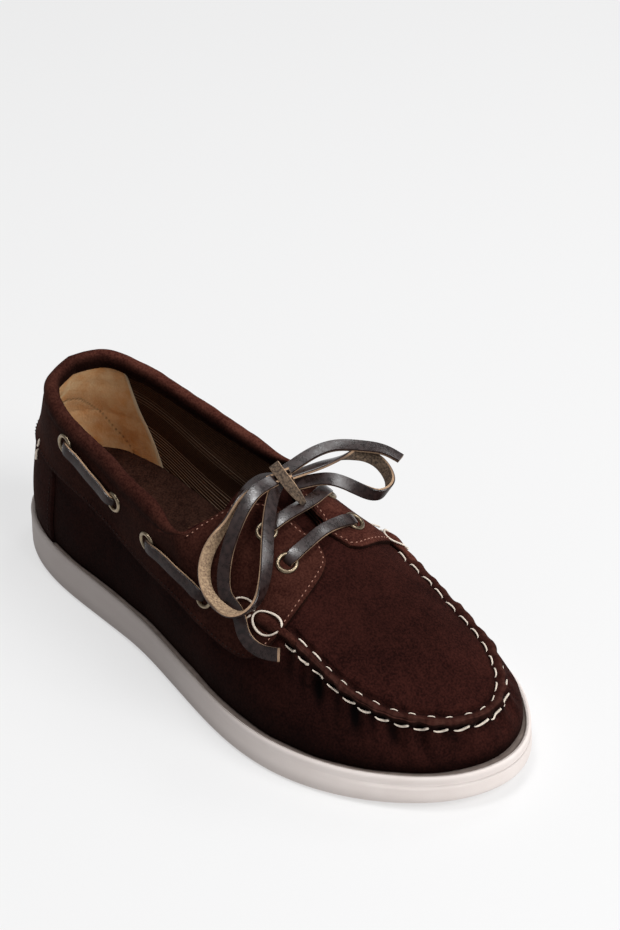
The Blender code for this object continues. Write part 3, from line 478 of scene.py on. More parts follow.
def surface(s, t):
    """Outside of the upper: each rib is two Bezier curves, ledge to break, then break to top."""
    s, t = np.broadcast_arrays(np.asarray(s, float), np.asarray(t, float))
    u, inner, inward, foot, seam, end, leans = rib_ends(s)
    inward = np.concatenate([inward, np.zeros_like(inward[..., :1])], -1)
    on_vamp = blend(u, share(COLLAR_END), share(20.0))[..., None]
    turned = np.pi / 2 * np.clip((u - share(92.0)) / (1 - share(92.0)), 0, 1)
    across = np.stack([-np.sin(turned), np.where(inner, -1, 1) * np.cos(turned), 0 * turned], -1)
    last = unit(inward * (1 - on_vamp) + across * on_vamp)
    cosine, sine = np.cos(leans)[..., None], np.sin(leans)[..., None]
    heading = [cosine[..., i, :] * way + sine[..., i, :] * np.array((0.0, 0.0, 1.0))
               for i, way in enumerate((inward, inward, inward, last))]
    low = 0.36 * np.linalg.norm(seam - foot, axis=-1, keepdims=True)
    high = 0.34 * np.linalg.norm(end - seam, axis=-1, keepdims=True)
    wall = bezier((foot, foot + low * heading[0], seam - low * heading[1], seam), 2 * t)
    crown = bezier((seam, seam + high * heading[2], end - high * heading[3], end), 2 * t - 1)
    return np.where((t <= 0.5)[..., None], wall, crown)


def outward(s, t):
    """Unit normal: the surface's slope round the shoe crossed with its slope up the rib."""
    s, t = np.broadcast_arrays(np.asarray(s, float), np.asarray(t, float))
    step = 0.002
    t = np.clip(t, 2 * step, 1 - 6 * step)
    return unit(np.cross(surface(s + step, t) - surface(s - step, t),
                         surface(s, t + step) - surface(s, t - step)))


def skin(s, t, lift):
    """Point a lift outside the upper, along its normal."""
    return surface(s, t) + outward(s, t) * np.asarray(lift, float)[..., None]


def hump(x, middle, half):
    """Bell curve of height 1: exp of minus the square of the distance over the half width."""
    return np.exp(-((x - middle) / half) ** 2)


def wing_sag(u):
    """Share of the rib cut away at the wing's rear edge: a bell curve round its lowest part."""
    return WING_SAG * hump(u, share(WING_LOW), share(WING_LOW) - share(WING_LOW - 7))


def rim_height(s):
    """Height up the rib where the wall stops: under the padded roll, or at the wing's edge."""
    u, _, _, _, seam, end, _ = rib_ends(s)
    drop = (ROLL_SINK + ROLL_UP + 2 * GAP) * (1 - blend(u, share(COLLAR_END - 3), share(COLLAR_END + 5)))
    return 1 - wing_sag(u) - 0.5 * drop / np.linalg.norm(end - seam, axis=-1)


# The seam against the break: millimetres it climbs above it on either side
SEAM_CLIMB = np.array([
    # x   outer  inner
    (30.0, 5.4, 4.4), (54.0, 5.2, 4.4), (64.0, 4.0, 4.4), (72.0, 3.1, 4.2), (82.0, 1.8, 3.6),
    (90.0, 0.4, 2.3), (100.0, -0.8, 1.0), (111.0, -1.0, 0.6), (122.0, -0.4, 1.0), (133.0, 0.3, 1.4),
    (141.0, 1.1, 1.7), (147.3, 2.0, 2.0)])


def seam_climb(s):
    """Millimetres from the break up to the seam at s: the table's row, by side."""
    rows = level(share(SEAM_CLIMB[:, 0]), SEAM_CLIMB[:, 1:], folded(s))
    return np.where(np.mod(s, 2.0) > 1, rows[..., 1], rows[..., 0])


def rib_lengths(s):
    """Straight lengths of the rib below its break and above it."""
    _, _, _, foot, seam, end, _ = rib_ends(s)
    return np.linalg.norm(seam - foot, axis=-1), np.linalg.norm(end - seam, axis=-1)


def up_the_rib(s, t):
    """Millimetres along the rib from its break to t, minus below it."""
    below, above = rib_lengths(s)
    return (t - 0.5) * 2 * np.where(t < 0.5, below, above)


def height_at(s, up):
    """Height t on the rib at the millimetres above its break."""
    below, above = rib_lengths(s)
    return 0.5 + up / (2 * np.where(up < 0, below, above))


SEAM_WAY = np.linspace(0, 2, 1601)
SEAM_LINE = surface(SEAM_WAY, height_at(SEAM_WAY, seam_climb(SEAM_WAY)))
SEAM_RUN = np.concatenate([[0.0], np.cumsum(np.linalg.norm(np.diff(SEAM_LINE, axis=0), axis=1))])
SEAM_FIRST, SEAM_LAST = np.interp((share(SEAM_START), 2 - share(SEAM_START)), SEAM_WAY, SEAM_RUN)
STITCH = (SEAM_LAST - SEAM_FIRST) / SEAM_STITCHES
# Soft troughs pressed into the vamp wall below the gathers: x of the sole, outer side or not,
# depth and half width
TROUGHS = ((57, 1, 1.6, 3.6), (66, 1, 1.2, 2.4), (76, 1, 2.4, 3.6), (87, 1, 1.2, 2.6), (96, 1, 2.4, 3.2),
           (104, 1, 1.2, 2.4), (113, 1, 2.3, 3.4), (124, 1, 1.4, 3.0), (136, 1, 1.2, 3.6), (72, 0, 1.5, 5.0),
           (88, 0, 1.8, 5.0), (105, 0, 1.5, 5.0), (122, 0, 1.2, 5.0))


def across_seam(s, t):
    """Millimetres from the seam's crest: minus on the vamp wall, plus on the plug."""
    return up_the_rib(s, t) - seam_climb(s)


def ripple(points, size, seed):
    """Smooth unevenness of about plus or minus 1: eight plane waves of one length, added."""
    number = np.random.default_rng(seed)
    ways = unit(number.normal(size=(8, 3))) * 2 * np.pi / size * number.uniform(0.7, 1.4, (8, 1))
    return np.sin(points @ ways.T + number.uniform(0, 2 * np.pi, 8)).sum(-1) / 3.2


def troughs(s, t):
    """Depth of the soft troughs: a bell across each one times a bell down the wall from the seam."""
    run = np.interp(np.mod(s, 2.0), SEAM_WAY, SEAM_RUN)
    d = across_seam(s, t)
    deep = np.zeros(np.shape(d))
    for at, outer, depth, half in TROUGHS:
        middle = np.interp(share(at) if outer else 2 - share(at), SEAM_WAY, SEAM_RUN)
        deep = deep + depth * hump(run + 0.25 * d, middle, half) * hump(d, -7.0, 7.0) * (d < 3)
    return deep


def upper_lift(s, t):
    """Relief of the sewn upper: the pinched ridge, its two furrows, the gathers and the troughs."""
    u = folded(s)
    run = np.interp(np.mod(s, 2.0), SEAM_WAY, SEAM_RUN)
    sewn = blend(u, share(SEAM_START - 3), share(SEAM_START + 5))
    d = across_seam(s, t)
    phase = np.cos(2 * np.pi * (run - SEAM_FIRST) / STITCH)
    uneven = 1 + 0.5 * np.sin(run / 5.3) * np.sin(run / 3.1 + 1.0)
    calm = 1 - 0.6 * blend(np.mod(s, 2.0), 1.05, 1.15)
    phase, uneven = phase * calm, 1 + (uneven - 1) * calm
    lumps = 0.35 * np.sin(run / 1.9 + 2 * np.sin(run / 11.0)) + 0.25 * np.sin(run / 0.83)
    ridge = ((SEAM_HEIGHT + 0.35 * phase * uneven + 0.5 * lumps)
             * hump(d, 0.25 * np.sin(run / 4.3) + 0.3 * lumps, 2.0 + 0.15 * phase * uneven))
    slit = -0.4 * hump(d, 0.1, 0.35)
    inner_furrow = -1.1 * hump(d, 3.3, 1.2) * (0.85 - 0.15 * phase)
    outer_furrow = -0.9 * hump(d, -2.9, 1.1) * (0.55 - 0.45 * phase)
    gathers = uneven * (0.75 * phase * hump(d, -3.4, 2.8) + 0.4 * phase * hump(d, -8.0, 4.5))
    return sewn * (ridge + slit + inner_furrow + outer_furrow + gathers) - troughs(s, t)


# Chrome-tanned suede, drum-dyed and brushed: no gloss, a light bloom where the nap stands up,
# lighter patches where the nap was brushed the other way, and painted shade on upright sides and in creases.
def make_suede(name, dark, light, bloom, far_share=1.0):
    """Napped leather: strokes and fibre from three noises, with painted shade where it stands upright.

    Its tone is also times far_share, painted shade on the near side, except where it lies flat beyond the
    middle of the shoe.
    """
    made, shader = new_finish(name, Roughness=0.95, Sheen_Weight=bloom, Sheen_Roughness=0.35,
                              Sheen_Tint=colour("#c58a78"), Specular_IOR_Level=0.04)
    where = add(made, "TexCoord")
    cloud = add(made, "TexNoise", {"Vector": where.outputs["Object"], "Scale": 55.0, "Detail": 3.0,
                                   "Roughness": 0.55, "Distortion": 0.6})
    fibre = add(made, "TexNoise", {"Vector": where.outputs["Object"], "Scale": 1100.0, "Detail": 2.0})
    grain = add(made, "TexNoise", {"Vector": where.outputs["Object"], "Scale": 320.0, "Detail": 4.0,
                                   "Roughness": 0.65})
    wide = add(made, "MapRange", {"Value": cloud.outputs["Fac"], "From Min": 0.32, "From Max": 0.68})
    near = add(made, "MapRange", {"Value": grain.outputs["Fac"], "From Min": 0.22, "From Max": 0.78})
    tips = add(made, "MapRange", {"Value": fibre.outputs["Fac"], "From Min": 0.35, "From Max": 0.65,
                                  "To Min": -0.34, "To Max": 0.34})
    both = add(made, "Math", {0: wide.outputs[0], 1: near.outputs[0]}, operation="ADD")
    nap = add(made, "Math", {0: both.outputs[0], 1: 0.5, 2: tips.outputs[0]}, operation="MULTIPLY_ADD")
    tone = add(made, "Mix", {0: nap.outputs[0], 6: colour(dark), 7: colour(light)}, data_type="RGBA")
    # painted shade: the pressed attribute darkens the tone towards near black in creases and on the outer
    # wall
    pressed = add(made, "Attribute", attribute_name="pressed")
    tone = add(made, "Mix", {0: pressed.outputs["Fac"], 6: tone.outputs[2], 7: colour("#070303")},
               data_type="RGBA")
    worn = add(made, "Attribute", attribute_name="worn")
    tone = add(made, "Mix", {0: worn.outputs["Fac"], 6: tone.outputs[2], 7: colour("#4a2d26")},
               data_type="RGBA")
    mixed = add(made, "Math", {0: fibre.outputs["Fac"], 1: grain.outputs["Fac"]}, operation="ADD")
    dent = add(made, "Bump", {"Strength": 0.55, "Distance": 0.0004, "Height": mixed.outputs[0]})
    # painted shade by facing: upright sides fall to 0.26 of the tone, and by far_share the near side too,
    # except flat beyond the middle
    facing = add(made, "SeparateXYZ", {"Vector": where.outputs["Normal"]})
    painted_upright_shade = add(made, "MapRange", {"Value": facing.outputs["Z"], "From Min": 0.0, "From Max": 0.8,
                                   "To Min": 0.26, "To Max": 1.0})
    parts = add(made, "SeparateXYZ", {"Vector": where.outputs["Object"]})
    beyond = add(made, "MapRange", {"Value": parts.outputs["Y"], "From Min": 0.006, "From Max": 0.022})
    flat = add(made, "MapRange", {"Value": facing.outputs["Z"], "From Min": 0.3, "From Max": 0.7})
    flat_far_side = add(made, "Math", {0: beyond.outputs[0], 1: flat.outputs[0]}, operation="MULTIPLY")
    turned = add(made, "MapRange", {"Value": flat_far_side.outputs[0], "To Min": far_share, "To Max": 1.0})
    painted_shade_factor = add(made, "Math", {0: painted_upright_shade.outputs[0], 1: turned.outputs[0]}, operation="MULTIPLY")
    tone = add(made, "Mix", {0: painted_shade_factor.outputs[0], 6: colour("#000000"), 7: tone.outputs[2]}, data_type="RGBA")
    join(made, shader, Base_Color=tone.outputs[2], Normal=dent.outputs[0])
    return made


suede = make_suede("brushed cow suede, drum-dyed brown", "#1f0c0a", "#3c1d18", 0.05)
# the same suede painted lighter, with painted shade, times 0.6, on the near side
panel_suede = make_suede("brushed cow suede, painted lighter, shaded on the near side", "#3a1b16", "#5f372d", 0.05, 0.6)

half = np.concatenate([np.linspace(0, share(SEAM_START - 4), 150, endpoint=False),
                       np.linspace(share(SEAM_START - 4), 1, 190)])
s = all_round(half)
t = np.concatenate([np.linspace(0, 0.36, 16, endpoint=False), np.linspace(0.36, 0.45, 9, endpoint=False),
                    np.linspace(0.45, 0.56, 30, endpoint=False), np.linspace(0.56, 1, 26)])
rim = rim_height(s)[:, None]
t = np.where(t > 0.56, 0.56 + (t - 0.56) / 0.44 * (rim - 0.56), t)
near_seam = np.interp(t, (0.3, 0.43, 0.58, 0.8), (0.0, 1.0, 1.0, 0.0))
t = t + (height_at(s, seam_climb(s)) - 0.5)[:, None] * near_seam
s_grid = np.repeat(s[:, None], t.shape[1], 1)
points = skin(s_grid, t, upper_lift(s_grid, t))
points += (outward(s_grid, t) * (0.22 * ripple(points, 26.0, 3) * (np.abs(t - 0.5) > 0.06))[..., None])
points[:, 0, 2] -= 0.6
columns = t.shape[1]
# turned in along the rim: the thickness of the wall, behind the throat only
turned_in = skin(s[:, None], rim * np.array((0.998, 0.995, 0.99)), np.array((-0.4, -1.2, -2.0)))
grid = np.concatenate([points, turned_in], 1)
faces = grid_faces(len(s), columns + 3, True)
row, column = faces[:, 0] // (columns + 3), faces[:, 0] % (columns + 3)
open_rib = folded(s) < share(THROAT_FRONT) + 0.004
keep = (column < columns - 1) | (open_rib[row] & open_rib[(row + 1) % len(s)])
# painted shade for the pressed attribute: darker in the troughs and in the furrows beside the seam
run = np.interp(np.mod(s_grid, 2.0), SEAM_WAY, SEAM_RUN)
sewn = blend(folded(s_grid), share(SEAM_START - 3), share(SEAM_START + 5))
d = across_seam(s_grid, t)
dark = np.clip(troughs(s_grid, t) / 2.6, 0, 1) ** 1.3
dark = np.maximum(dark, sewn * np.maximum(0.75 * hump(d, -2.6, 0.9), 0.6 * hump(d, 2.9, 0.8)))
dark = np.concatenate([dark, np.zeros((len(s), 3))], 1)
worn = sewn * hump(d, 0.0, 1.4) * (0.6 + 0.4 * np.sin(run / 1.3) * np.sin(run / 0.7))
worn = np.concatenate([worn, np.zeros((len(s), 3))], 1)
# painted shade: darker on the lower outer wall and over the middle of the plug
outer_side = 1 - blend(np.mod(s_grid, 2.0), 0.74, 0.86)
brushed = 0.4 * outer_side * (1 - blend(t, 0.4, 0.47))
brushed += 0.3 * hump(points[..., 0], 78, 30) * hump(points[..., 1], -4, 30) * blend(t, 0.56, 0.62)
dark = np.clip(dark + np.pad(brushed, ((0, 0), (0, dark.shape[1] - brushed.shape[1]))), 0, 1)
# pressed carries the painted shade of the troughs, furrows, outer wall and plug into the suede's tone
make_piece("upper_suede", grid, faces[keep], (suede,), slot="suede", replaced=("upper",), weld=True,
           pressed=dark, worn=worn)

# ------------------------------------------------------------------------------- lining
# Ribbed cotton lining glued inside the wall, brown with thin pale stripes, and a pocket of
# natural tan pigskin round the heel, skived thin and sewn over it.
cotton, shader = new_finish("ribbed cotton lining", Roughness=0.95, Specular_IOR_Level=0.1)
where = add(cotton, "TexCoord")
# ribs run along the foot and fall a quarter of the way forward: their height is z + 0.26 x
height = add(cotton, "VectorMath", {0: where.outputs["Object"], 1: (0.26, 0.0, 1.0)}, operation="DOT_PRODUCT")
turns = add(cotton, "Math", {0: height.outputs["Value"], 1: 2 * np.pi / 0.0012}, operation="MULTIPLY")
rib = add(cotton, "Math", {0: turns.outputs[0]}, operation="SINE")
pale_turns = add(cotton, "Math", {0: height.outputs["Value"], 1: 2 * np.pi / 0.0019}, operation="MULTIPLY")
pale = add(cotton, "Math", {0: pale_turns.outputs[0]}, operation="SINE")
pale_line = add(cotton, "MapRange", {"Value": pale.outputs[0], "From Min": 0.62, "From Max": 0.9})
low_band = add(cotton, "MapRange", {"Value": height.outputs["Value"], "From Min": 0.0305, "From Max": 0.0295})
high_bottom = add(cotton, "MapRange", {"Value": height.outputs["Value"], "From Min": 0.0415,
                                       "From Max": 0.0425})
high_top = add(cotton, "MapRange", {"Value": height.outputs["Value"], "From Min": 0.0485, "From Max": 0.0475})
high_band = add(cotton, "Math", {0: high_bottom.outputs[0], 1: high_top.outputs[0]}, operation="MULTIPLY")
faint = add(cotton, "Math", {0: high_band.outputs[0], 1: 0.45}, operation="MULTIPLY")
bands = add(cotton, "Math", {0: low_band.outputs[0], 1: faint.outputs[0]}, operation="MAXIMUM")
stripes = add(cotton, "Math", {0: bands.outputs[0], 1: pale_line.outputs[0]}, operation="MULTIPLY")
yarn = add(cotton, "TexNoise", {"Vector": where.outputs["Object"], "Scale": 900.0, "Detail": 2.0})
ribbed = add(cotton, "MapRange", {"Value": rib.outputs[0], "From Min": -1.0, "From Max": 1.0,
                                  "To Min": 0.0, "To Max": 0.8})
mixed = add(cotton, "Math", {0: ribbed.outputs[0], 1: yarn.outputs["Fac"]}, operation="MULTIPLY")
ground = add(cotton, "Mix", {0: mixed.outputs[0], 6: colour("#2c1a12"), 7: colour("#7a573f")},
             data_type="RGBA")
tone = add(cotton, "Mix", {0: stripes.outputs[0], 6: ground.outputs[2], 7: colour("#b59a82")},
           data_type="RGBA")
dent = add(cotton, "Bump", {"Strength": 0.4, "Distance": 0.0002, "Height": rib.outputs[0]})
join(cotton, shader, Base_Color=tone.outputs[2], Normal=dent.outputs[0])

pigskin, shader = new_finish("vegetable-tanned pigskin, natural tan painted lighter", Roughness=0.75, Specular_IOR_Level=0.3)
where = add(pigskin, "TexCoord")
stain = add(pigskin, "TexNoise", {"Vector": where.outputs["Object"], "Scale": 75.0, "Detail": 5.0,
                                  "Roughness": 0.6})
pore = add(pigskin, "TexVoronoi", {"Vector": where.outputs["Object"], "Scale": 900.0})
spread = add(pigskin, "MapRange", {"Value": stain.outputs["Fac"], "From Min": 0.36, "From Max": 0.68})
# painted light: the tan runs near white, lighter than the leather, standing in for light reaching into the
# heel
tone = add(pigskin, "Mix", {0: spread.outputs[0], 6: colour("#e5a468"), 7: colour("#ffdcaa")},
           data_type="RGBA")
seam_shade = add(pigskin, "Attribute", attribute_name="seam")
tone = add(pigskin, "Mix", {0: seam_shade.outputs["Fac"], 6: tone.outputs[2], 7: colour("#6d4322")},
           data_type="RGBA")
light_edge = add(pigskin, "Attribute", attribute_name="turned_edge")
tone = add(pigskin, "Mix", {0: light_edge.outputs["Fac"], 6: tone.outputs[2], 7: colour("#f2d9b4")},
           data_type="RGBA")
dent = add(pigskin, "Bump", {"Strength": 0.4, "Distance": 0.0003, "Height": pore.outputs["Distance"]})
join(pigskin, shader, Base_Color=tone.outputs[2], Normal=dent.outputs[0])

s = all_round(np.linspace(0, 1, 180))
rim = rim_height(s)[:, None]
t = np.linspace(0.03, 1, 36) * rim
deeper = 2.6 * blend(folded(s), share(50.0), share(60.0))[:, None]
points = skin(s[:, None], t, -WALL - deeper * np.ones_like(t))
make_piece("cotton_lining", points, grid_faces(len(s), 36, True)[:, ::-1], (cotton,), slot="suede", weld=True)

POCKET_EDGE = np.array([
    # height up the rib  at x
    (0.05, -94.0), (0.28, -99.0), (0.45, -104.0), (0.67, -112.0), (0.84, -120.0), (1.0, -127.0)])
t = np.linspace(0.05, 0.93, 60)[:, None]
edge_way = share(level(POCKET_EDGE[:, 0], POCKET_EDGE[:, 1], t[:, 0]))
w = np.sin(np.linspace(-np.pi / 2, np.pi / 2, 121))
s = edge_way * w
lift = -WALL - 0.15 - 0.75 * np.sqrt(np.clip(1 - np.abs(w) ** 30, 0, 1)) * np.ones_like(t)
heel_line = 0.66 - 0.55 * (np.abs(s) / share(-112.0)) ** 2
lift = lift + 0.3 * hump(t, heel_line, 0.008) - 0.2 * hump(t, heel_line - 0.02, 0.012)
points = skin(s, t, lift)
calm = (1 - np.abs(w[:, None]) ** 8) * (1 - blend(t, 0.76, 0.86))[..., None]
points += outward(s, t) * (0.35 * ripple(points, 17.0, 8))[..., None] * calm
make_piece("heel_pocket", points, grid_faces(60, 121)[:, ::-1], (pigskin,), slot="suede",
           seam=0.8 * hump(t, heel_line, 0.007) * (1 - blend(np.abs(w), 0.75, 0.9)),
           turned_edge=np.broadcast_to(blend(np.abs(w), 0.955, 0.985), lift.shape))

# ------------------------------------------------------------------------------- footbed
# Foam footbed under a sock of brown pigskin suede, thick and dished at the heel.
FOOTBED = np.array([(-148.5, 14.0), (-105.0, 14.6), (-70.0, 14.4), (-35.0, 10.2), (0.0, 5.8), (32.0, 3.2),
                    (60.0, 3.0), (147.3, 3.0)])
sock_suede = make_suede("pigskin suede sock", "#2a1914", "#4a3128", 0.15)
s = all_round(np.linspace(0, 1, 150))
u = folded(s)
edge, inward = outline(s)
side = level(share(SIDES[:, 0]), SIDES[:, 1:3], u)
thick = level(share(FOOTBED[:, 0]), FOOTBED[:, 1], u)[:, 0]
foot = np.column_stack([edge + inward * (side[:, :1] + WALL + 3 * GAP), side[:, 1] + GAP])
heights = np.linspace(0.01, 0.45, 60)
wall = skin(s[:, None], heights, np.full((len(s), 60), -WALL - 2 * GAP))
rings = [foot]
for part in (0.4, 0.8, 1.0):
    z = foot[:, 2] + thick * part
    k = np.clip(np.sum(wall[..., 2] < z[:, None], 1), 1, 59)
    rows_here = np.arange(len(s))
    below, above = wall[rows_here, k - 1], wall[rows_here, k]
    f = np.clip((z - below[:, 2]) / (above[:, 2] - below[:, 2]), 0, 1)[:, None]
    rings.append(below * (1 - f) + above * f)
top = rings[-1]
outer_edge, inner_edge = top[:150], np.vstack([top[:1], top[:148:-1]])
v = np.sin(np.linspace(-np.pi / 2, np.pi / 2, 41))[:, None]
bed = outer_edge[:, None] * (1 - v) / 2 + inner_edge[:, None] * (1 + v) / 2
dish = 4.5 * (1 - blend(bed[..., 0], -95.0, -20.0)) * (1 - np.abs(v[:, 0]) ** 2.5)
bed[..., 2] -= dish + 0.5 * (1 - v[:, 0] ** 2)
side_points = np.stack(rings)
faces = grid_faces(4, len(s), False, True)
bed_faces = grid_faces(150, 41) + 4 * len(s)
make_piece("footbed_sock", np.vstack([side_points.reshape(-1, 3), bed.reshape(-1, 3)]),
           np.vstack([faces, bed_faces]), (sock_suede,), slot="sock", replaced=("insole",), weld=True)

# ------------------------------------------------------------------------------- outsole
# Unit sole moulded in one piece of pale rubber: rounded foot, a fine groove under the lip, small
# teeth along the lip's inner edge like a welt's, and razor-cut waves in the tread.
TOE_SPRING, SPRING_START, WAIST_RISE, HEEL_BREAST, WAIST_END = 5.4, 64.0, 0.6, -62.0, -6.0


def sole_bottom(x):
    """Underside: flat heel, raised waist, flat forefoot, then a parabola up to the toe tip."""
    waist = blend(x, HEEL_BREAST, HEEL_BREAST + 24) * (1 - blend(x, WAIST_END - 30, WAIST_END))
    spring = np.clip((x - SPRING_START) / (OUTLINE[-1, 0] - SPRING_START), 0, None) ** 2
    return WAIST_RISE * waist + TOE_SPRING * spring


rubber, shader = new_finish("moulded pale rubber", Roughness=0.62, Specular_IOR_Level=0.35)
where = add(rubber, "TexCoord")
cloud = add(rubber, "TexNoise", {"Vector": where.outputs["Object"], "Scale": 60.0, "Detail": 4.0})
speck = add(rubber, "TexNoise", {"Vector": where.outputs["Object"], "Scale": 1500.0, "Detail": 1.0})
parts = add(rubber, "SeparateXYZ", {"Vector": where.outputs["Object"]})
# painted shade: the rubber darkens towards the heel and towards the underside, where its side turns from the
# lamp
forward = add(rubber, "MapRange", {"Value": parts.outputs["X"], "From Min": -0.02, "From Max": 0.11,
                                   "To Min": 0.34, "To Max": 1.0}, interpolation_type="SMOOTHSTEP")
high = add(rubber, "MapRange", {"Value": parts.outputs["Z"], "From Min": 0.001, "From Max": 0.009,
                                "To Min": 0.66, "To Max": 1.0}, interpolation_type="SMOOTHSTEP")
painted_sole_lightness = add(rubber, "Math", {0: forward.outputs[0], 1: high.outputs[0]}, operation="MULTIPLY")
tone = add(rubber, "Mix", {0: cloud.outputs["Fac"], 6: colour("#e3d7d1"), 7: colour("#f3eae5")},
           data_type="RGBA")
tone = add(rubber, "Mix", {0: painted_sole_lightness.outputs[0], 6: colour("#5f5552"), 7: tone.outputs[2]}, data_type="RGBA")
dent = add(rubber, "Bump", {"Strength": 0.25, "Distance": 0.0001, "Height": speck.outputs["Fac"]})
join(rubber, shader, Base_Color=tone.outputs[2], Normal=dent.outputs[0])

# The trough where the upper goes down, and the notches between the lip's teeth, are painted grey-brown:
# painted shade under the upper and in the notches.
shaded_trough, shader = new_finish("rubber trough and notches, painted grey-brown shade", Roughness=0.8)
where = add(shaded_trough, "TexCoord")
cloud = add(shaded_trough, "TexNoise", {"Vector": where.outputs["Object"], "Scale": 240.0, "Detail": 3.0})
tone = add(shaded_trough, "Mix", {0: cloud.outputs["Fac"], 6: colour("#5b4d46"), 7: colour("#8f8179")},
           data_type="RGBA")
join(shaded_trough, shader, Base_Color=tone.outputs[2])

SOLE_SIDE = np.array([
    # inset  share of the height  millimetres added  groove at the toe
    (1.9, 0.0, 0.00, 0.0), (1.35, 0.0, 0.09, 0.0), (0.85, 0.0, 0.35, 0.0), (0.5, 0.0, 0.75, 0.0),
    (0.22, 0.0, 1.35, 0.0), (0.06, 0.0, 2.1, 0.0), (0.0, 0.0, 2.9, 0.0), (0.08, 0.25, 1.6, 0.0),
    (0.3, 0.5, 0.6, 0.0), (0.48, 0.75, -0.6, 0.0), (0.55, 1.0, -4.4, 0.0), (0.55, 1.0, -3.85, 0.0),
    (0.55, 1.0, -3.55, 0.09), (0.55, 1.0, -3.25, 0.13), (0.55, 1.0, -2.95, 0.09), (0.55, 1.0, -2.7, 0.0),
    (0.55, 1.0, -2.3, 0.0), (0.55, 1.0, -1.4, 0.0), (0.7, 1.0, -0.75, 0.0), (1.0, 1.0, -0.3, 0.0),
    (1.4, 1.0, -0.06, 0.0)])
SOLE_LIP = np.array([
    # inset  millimetres above the top  depth of the teeth
    (1.4, -0.06, 0.0), (1.7, 0.0, 0.1), (2.1, -0.02, 0.5), (2.6, -0.12, 0.6), (2.9, -0.5, 0.4),
    (3.05, -1.0, 0.0), (3.6, -1.25, 0.0), (6.5, -1.25, 0.0)])


def sole_ring(s, inset, part, add_high):
    """Ring round the sole at an inset, its height a share between underside and top, plus some.

    The lip is trimmed closer by a bell curve beside the inner toe.
    """
    edge, inward = outline(s)
    top_z = level(share(SIDES[:, 0]), SIDES[:, 2], folded(s))[:, 0]
    trimmed = 1.2 * hump(np.mod(s, 2.0), 2 - share(134.0), 0.05)
    place = edge + inward * (np.asarray(inset) + trimmed)[..., None]
    return np.column_stack([place, sole_bottom(place[:, 0]) * (1 - part) + top_z * part + add_high])


s = all_round(np.linspace(0, 1, 330))
at_toe = blend(folded(s), share(100.0), share(130.0))
side_rings = np.stack([sole_ring(s, inset + groove * at_toe, part, high)
                       for inset, part, high, groove in SOLE_SIDE])
TEETH, PER_TOOTH = 800, 4
columns = TEETH * PER_TOOTH
fine = np.linspace(0, 2, columns, endpoint=False)
teeth = np.clip(np.cos(2 * np.pi * np.arange(columns) / PER_TOOTH), 0, 1)
lip_rings = np.stack([sole_ring(fine, np.full(columns, inset), 1.0, high - deep * teeth)
                      for inset, high, deep in SOLE_LIP])
faces = np.vstack([grid_faces(len(SOLE_SIDE), len(s), False, True),
                   grid_faces(len(SOLE_LIP), columns, False, True) + len(SOLE_SIDE) * len(s)])
# the notches between the teeth and the trough's faces take the painted shade
notch = np.tile((0, 1, 0, 0), TEETH)
which = np.concatenate([np.zeros((len(SOLE_SIDE) - 1) * len(s), int), np.zeros(columns, int), notch, notch,
                        np.ones(4 * columns, int)])
make_piece("rubber_sole", np.vstack([side_rings.reshape(-1, 3), lip_rings.reshape(-1, 3)]), faces[:, ::-1],
           (rubber, shaded_trough), which, slot="sole_rubber", replaced=("outsole",))
u = np.linspace(0.0, 1.0, 620)
v = np.linspace(-1, 1, 111)
outer_edge, inner_edge = (sole_ring(way, np.full(620, SOLE_SIDE[0, 0]), 0.0, 0.0) for way in (u, 2 - u))
tread = outer_edge[:, None] * (1 - v[:, None]) / 2 + inner_edge[:, None] * (1 + v[:, None]) / 2
from_edge = (1 - np.abs(v)) * np.linalg.norm(inner_edge - outer_edge, axis=1)[:, None] / 2
wave = np.abs(np.mod(tread[..., 0] + 1.6 * np.sin(tread[..., 1] / 2.2), 4.6) - 2.3)
waist = blend(tread[..., 0], -64, -60) * (1 - blend(tread[..., 0], -12, -8))
cuts = 0.7 * hump(wave, 0.0, 0.5) * (from_edge > 8.5) * (1 - waist)
tread[..., 2] += cuts + 0.9 * hump(from_edge, 6.5, 0.8)
make_piece("rubber_tread", tread, grid_faces(620, 111)[:, ::-1], (rubber,), slot="sole_rubber", weld=True)

# ------------------------------------------------------------------------------- collar panel
# One band of the same suede from wing to wing round the heel: it carries the eyelets, folds over
# a foam roll at the collar and ends in the eyestay wings, cut edges bare; rows are sewn 2.8 mm in
# from the wings' edges and 2.1 mm from the panel's.
PANEL_EDGES = np.array([
    # low at  low t  high at  high t  inner low at
    (-148.5, 0.50, -148.5, 1.0, -148.5), (-128.0, 0.51, -128.0, 1.0, -128.0),
    (-105.0, 0.53, -105.0, 1.0, -105.0), (-80.0, 0.54, -80.0, 1.0, -80.0),
    (-54.0, 0.47, -54.0, 1.0, -54.0), (-31.0, 0.42, -31.0, 1.0, -31.0), (-8.0, 0.38, -11.0, 1.0, -8.0),
    (16.0, 0.33, 4.0, 1.0, 14.0), (30.0, 0.32, 14.0, 1.0, 25.0), (40.0, 0.35, 20.0, 1.0, 32.0),
    (47.0, 0.45, 26.0, 1.0, 38.0), (52.0, 0.58, 31.0, 1.0, 44.5), (57.0, 0.74, 36.0, 1.0, 53.0),
    (58.5, 0.86, 41.0, 0.985, 58.0), (56.0, 0.93, 47.0, 0.97, 56.5)])
PANEL_SEAT, PANEL = 0.86, 1.4
LAST_ROW = float(len(PANEL_EDGES) - 1)


def panel_rim(s):
    """Height up the rib where the panel turns over: under the roll, which fades out at the corner."""
    u, _, _, _, seam, end, _ = rib_ends(s)
    rolled = 1 - blend(u, share(COLLAR_END - 20), share(COLLAR_END + 3))
    drop = (ROLL_SINK + ROLL_UP + 2 * GAP) * rolled
    return 1 - wing_sag(u) - 0.5 * drop / np.linalg.norm(end - seam, axis=-1), rolled


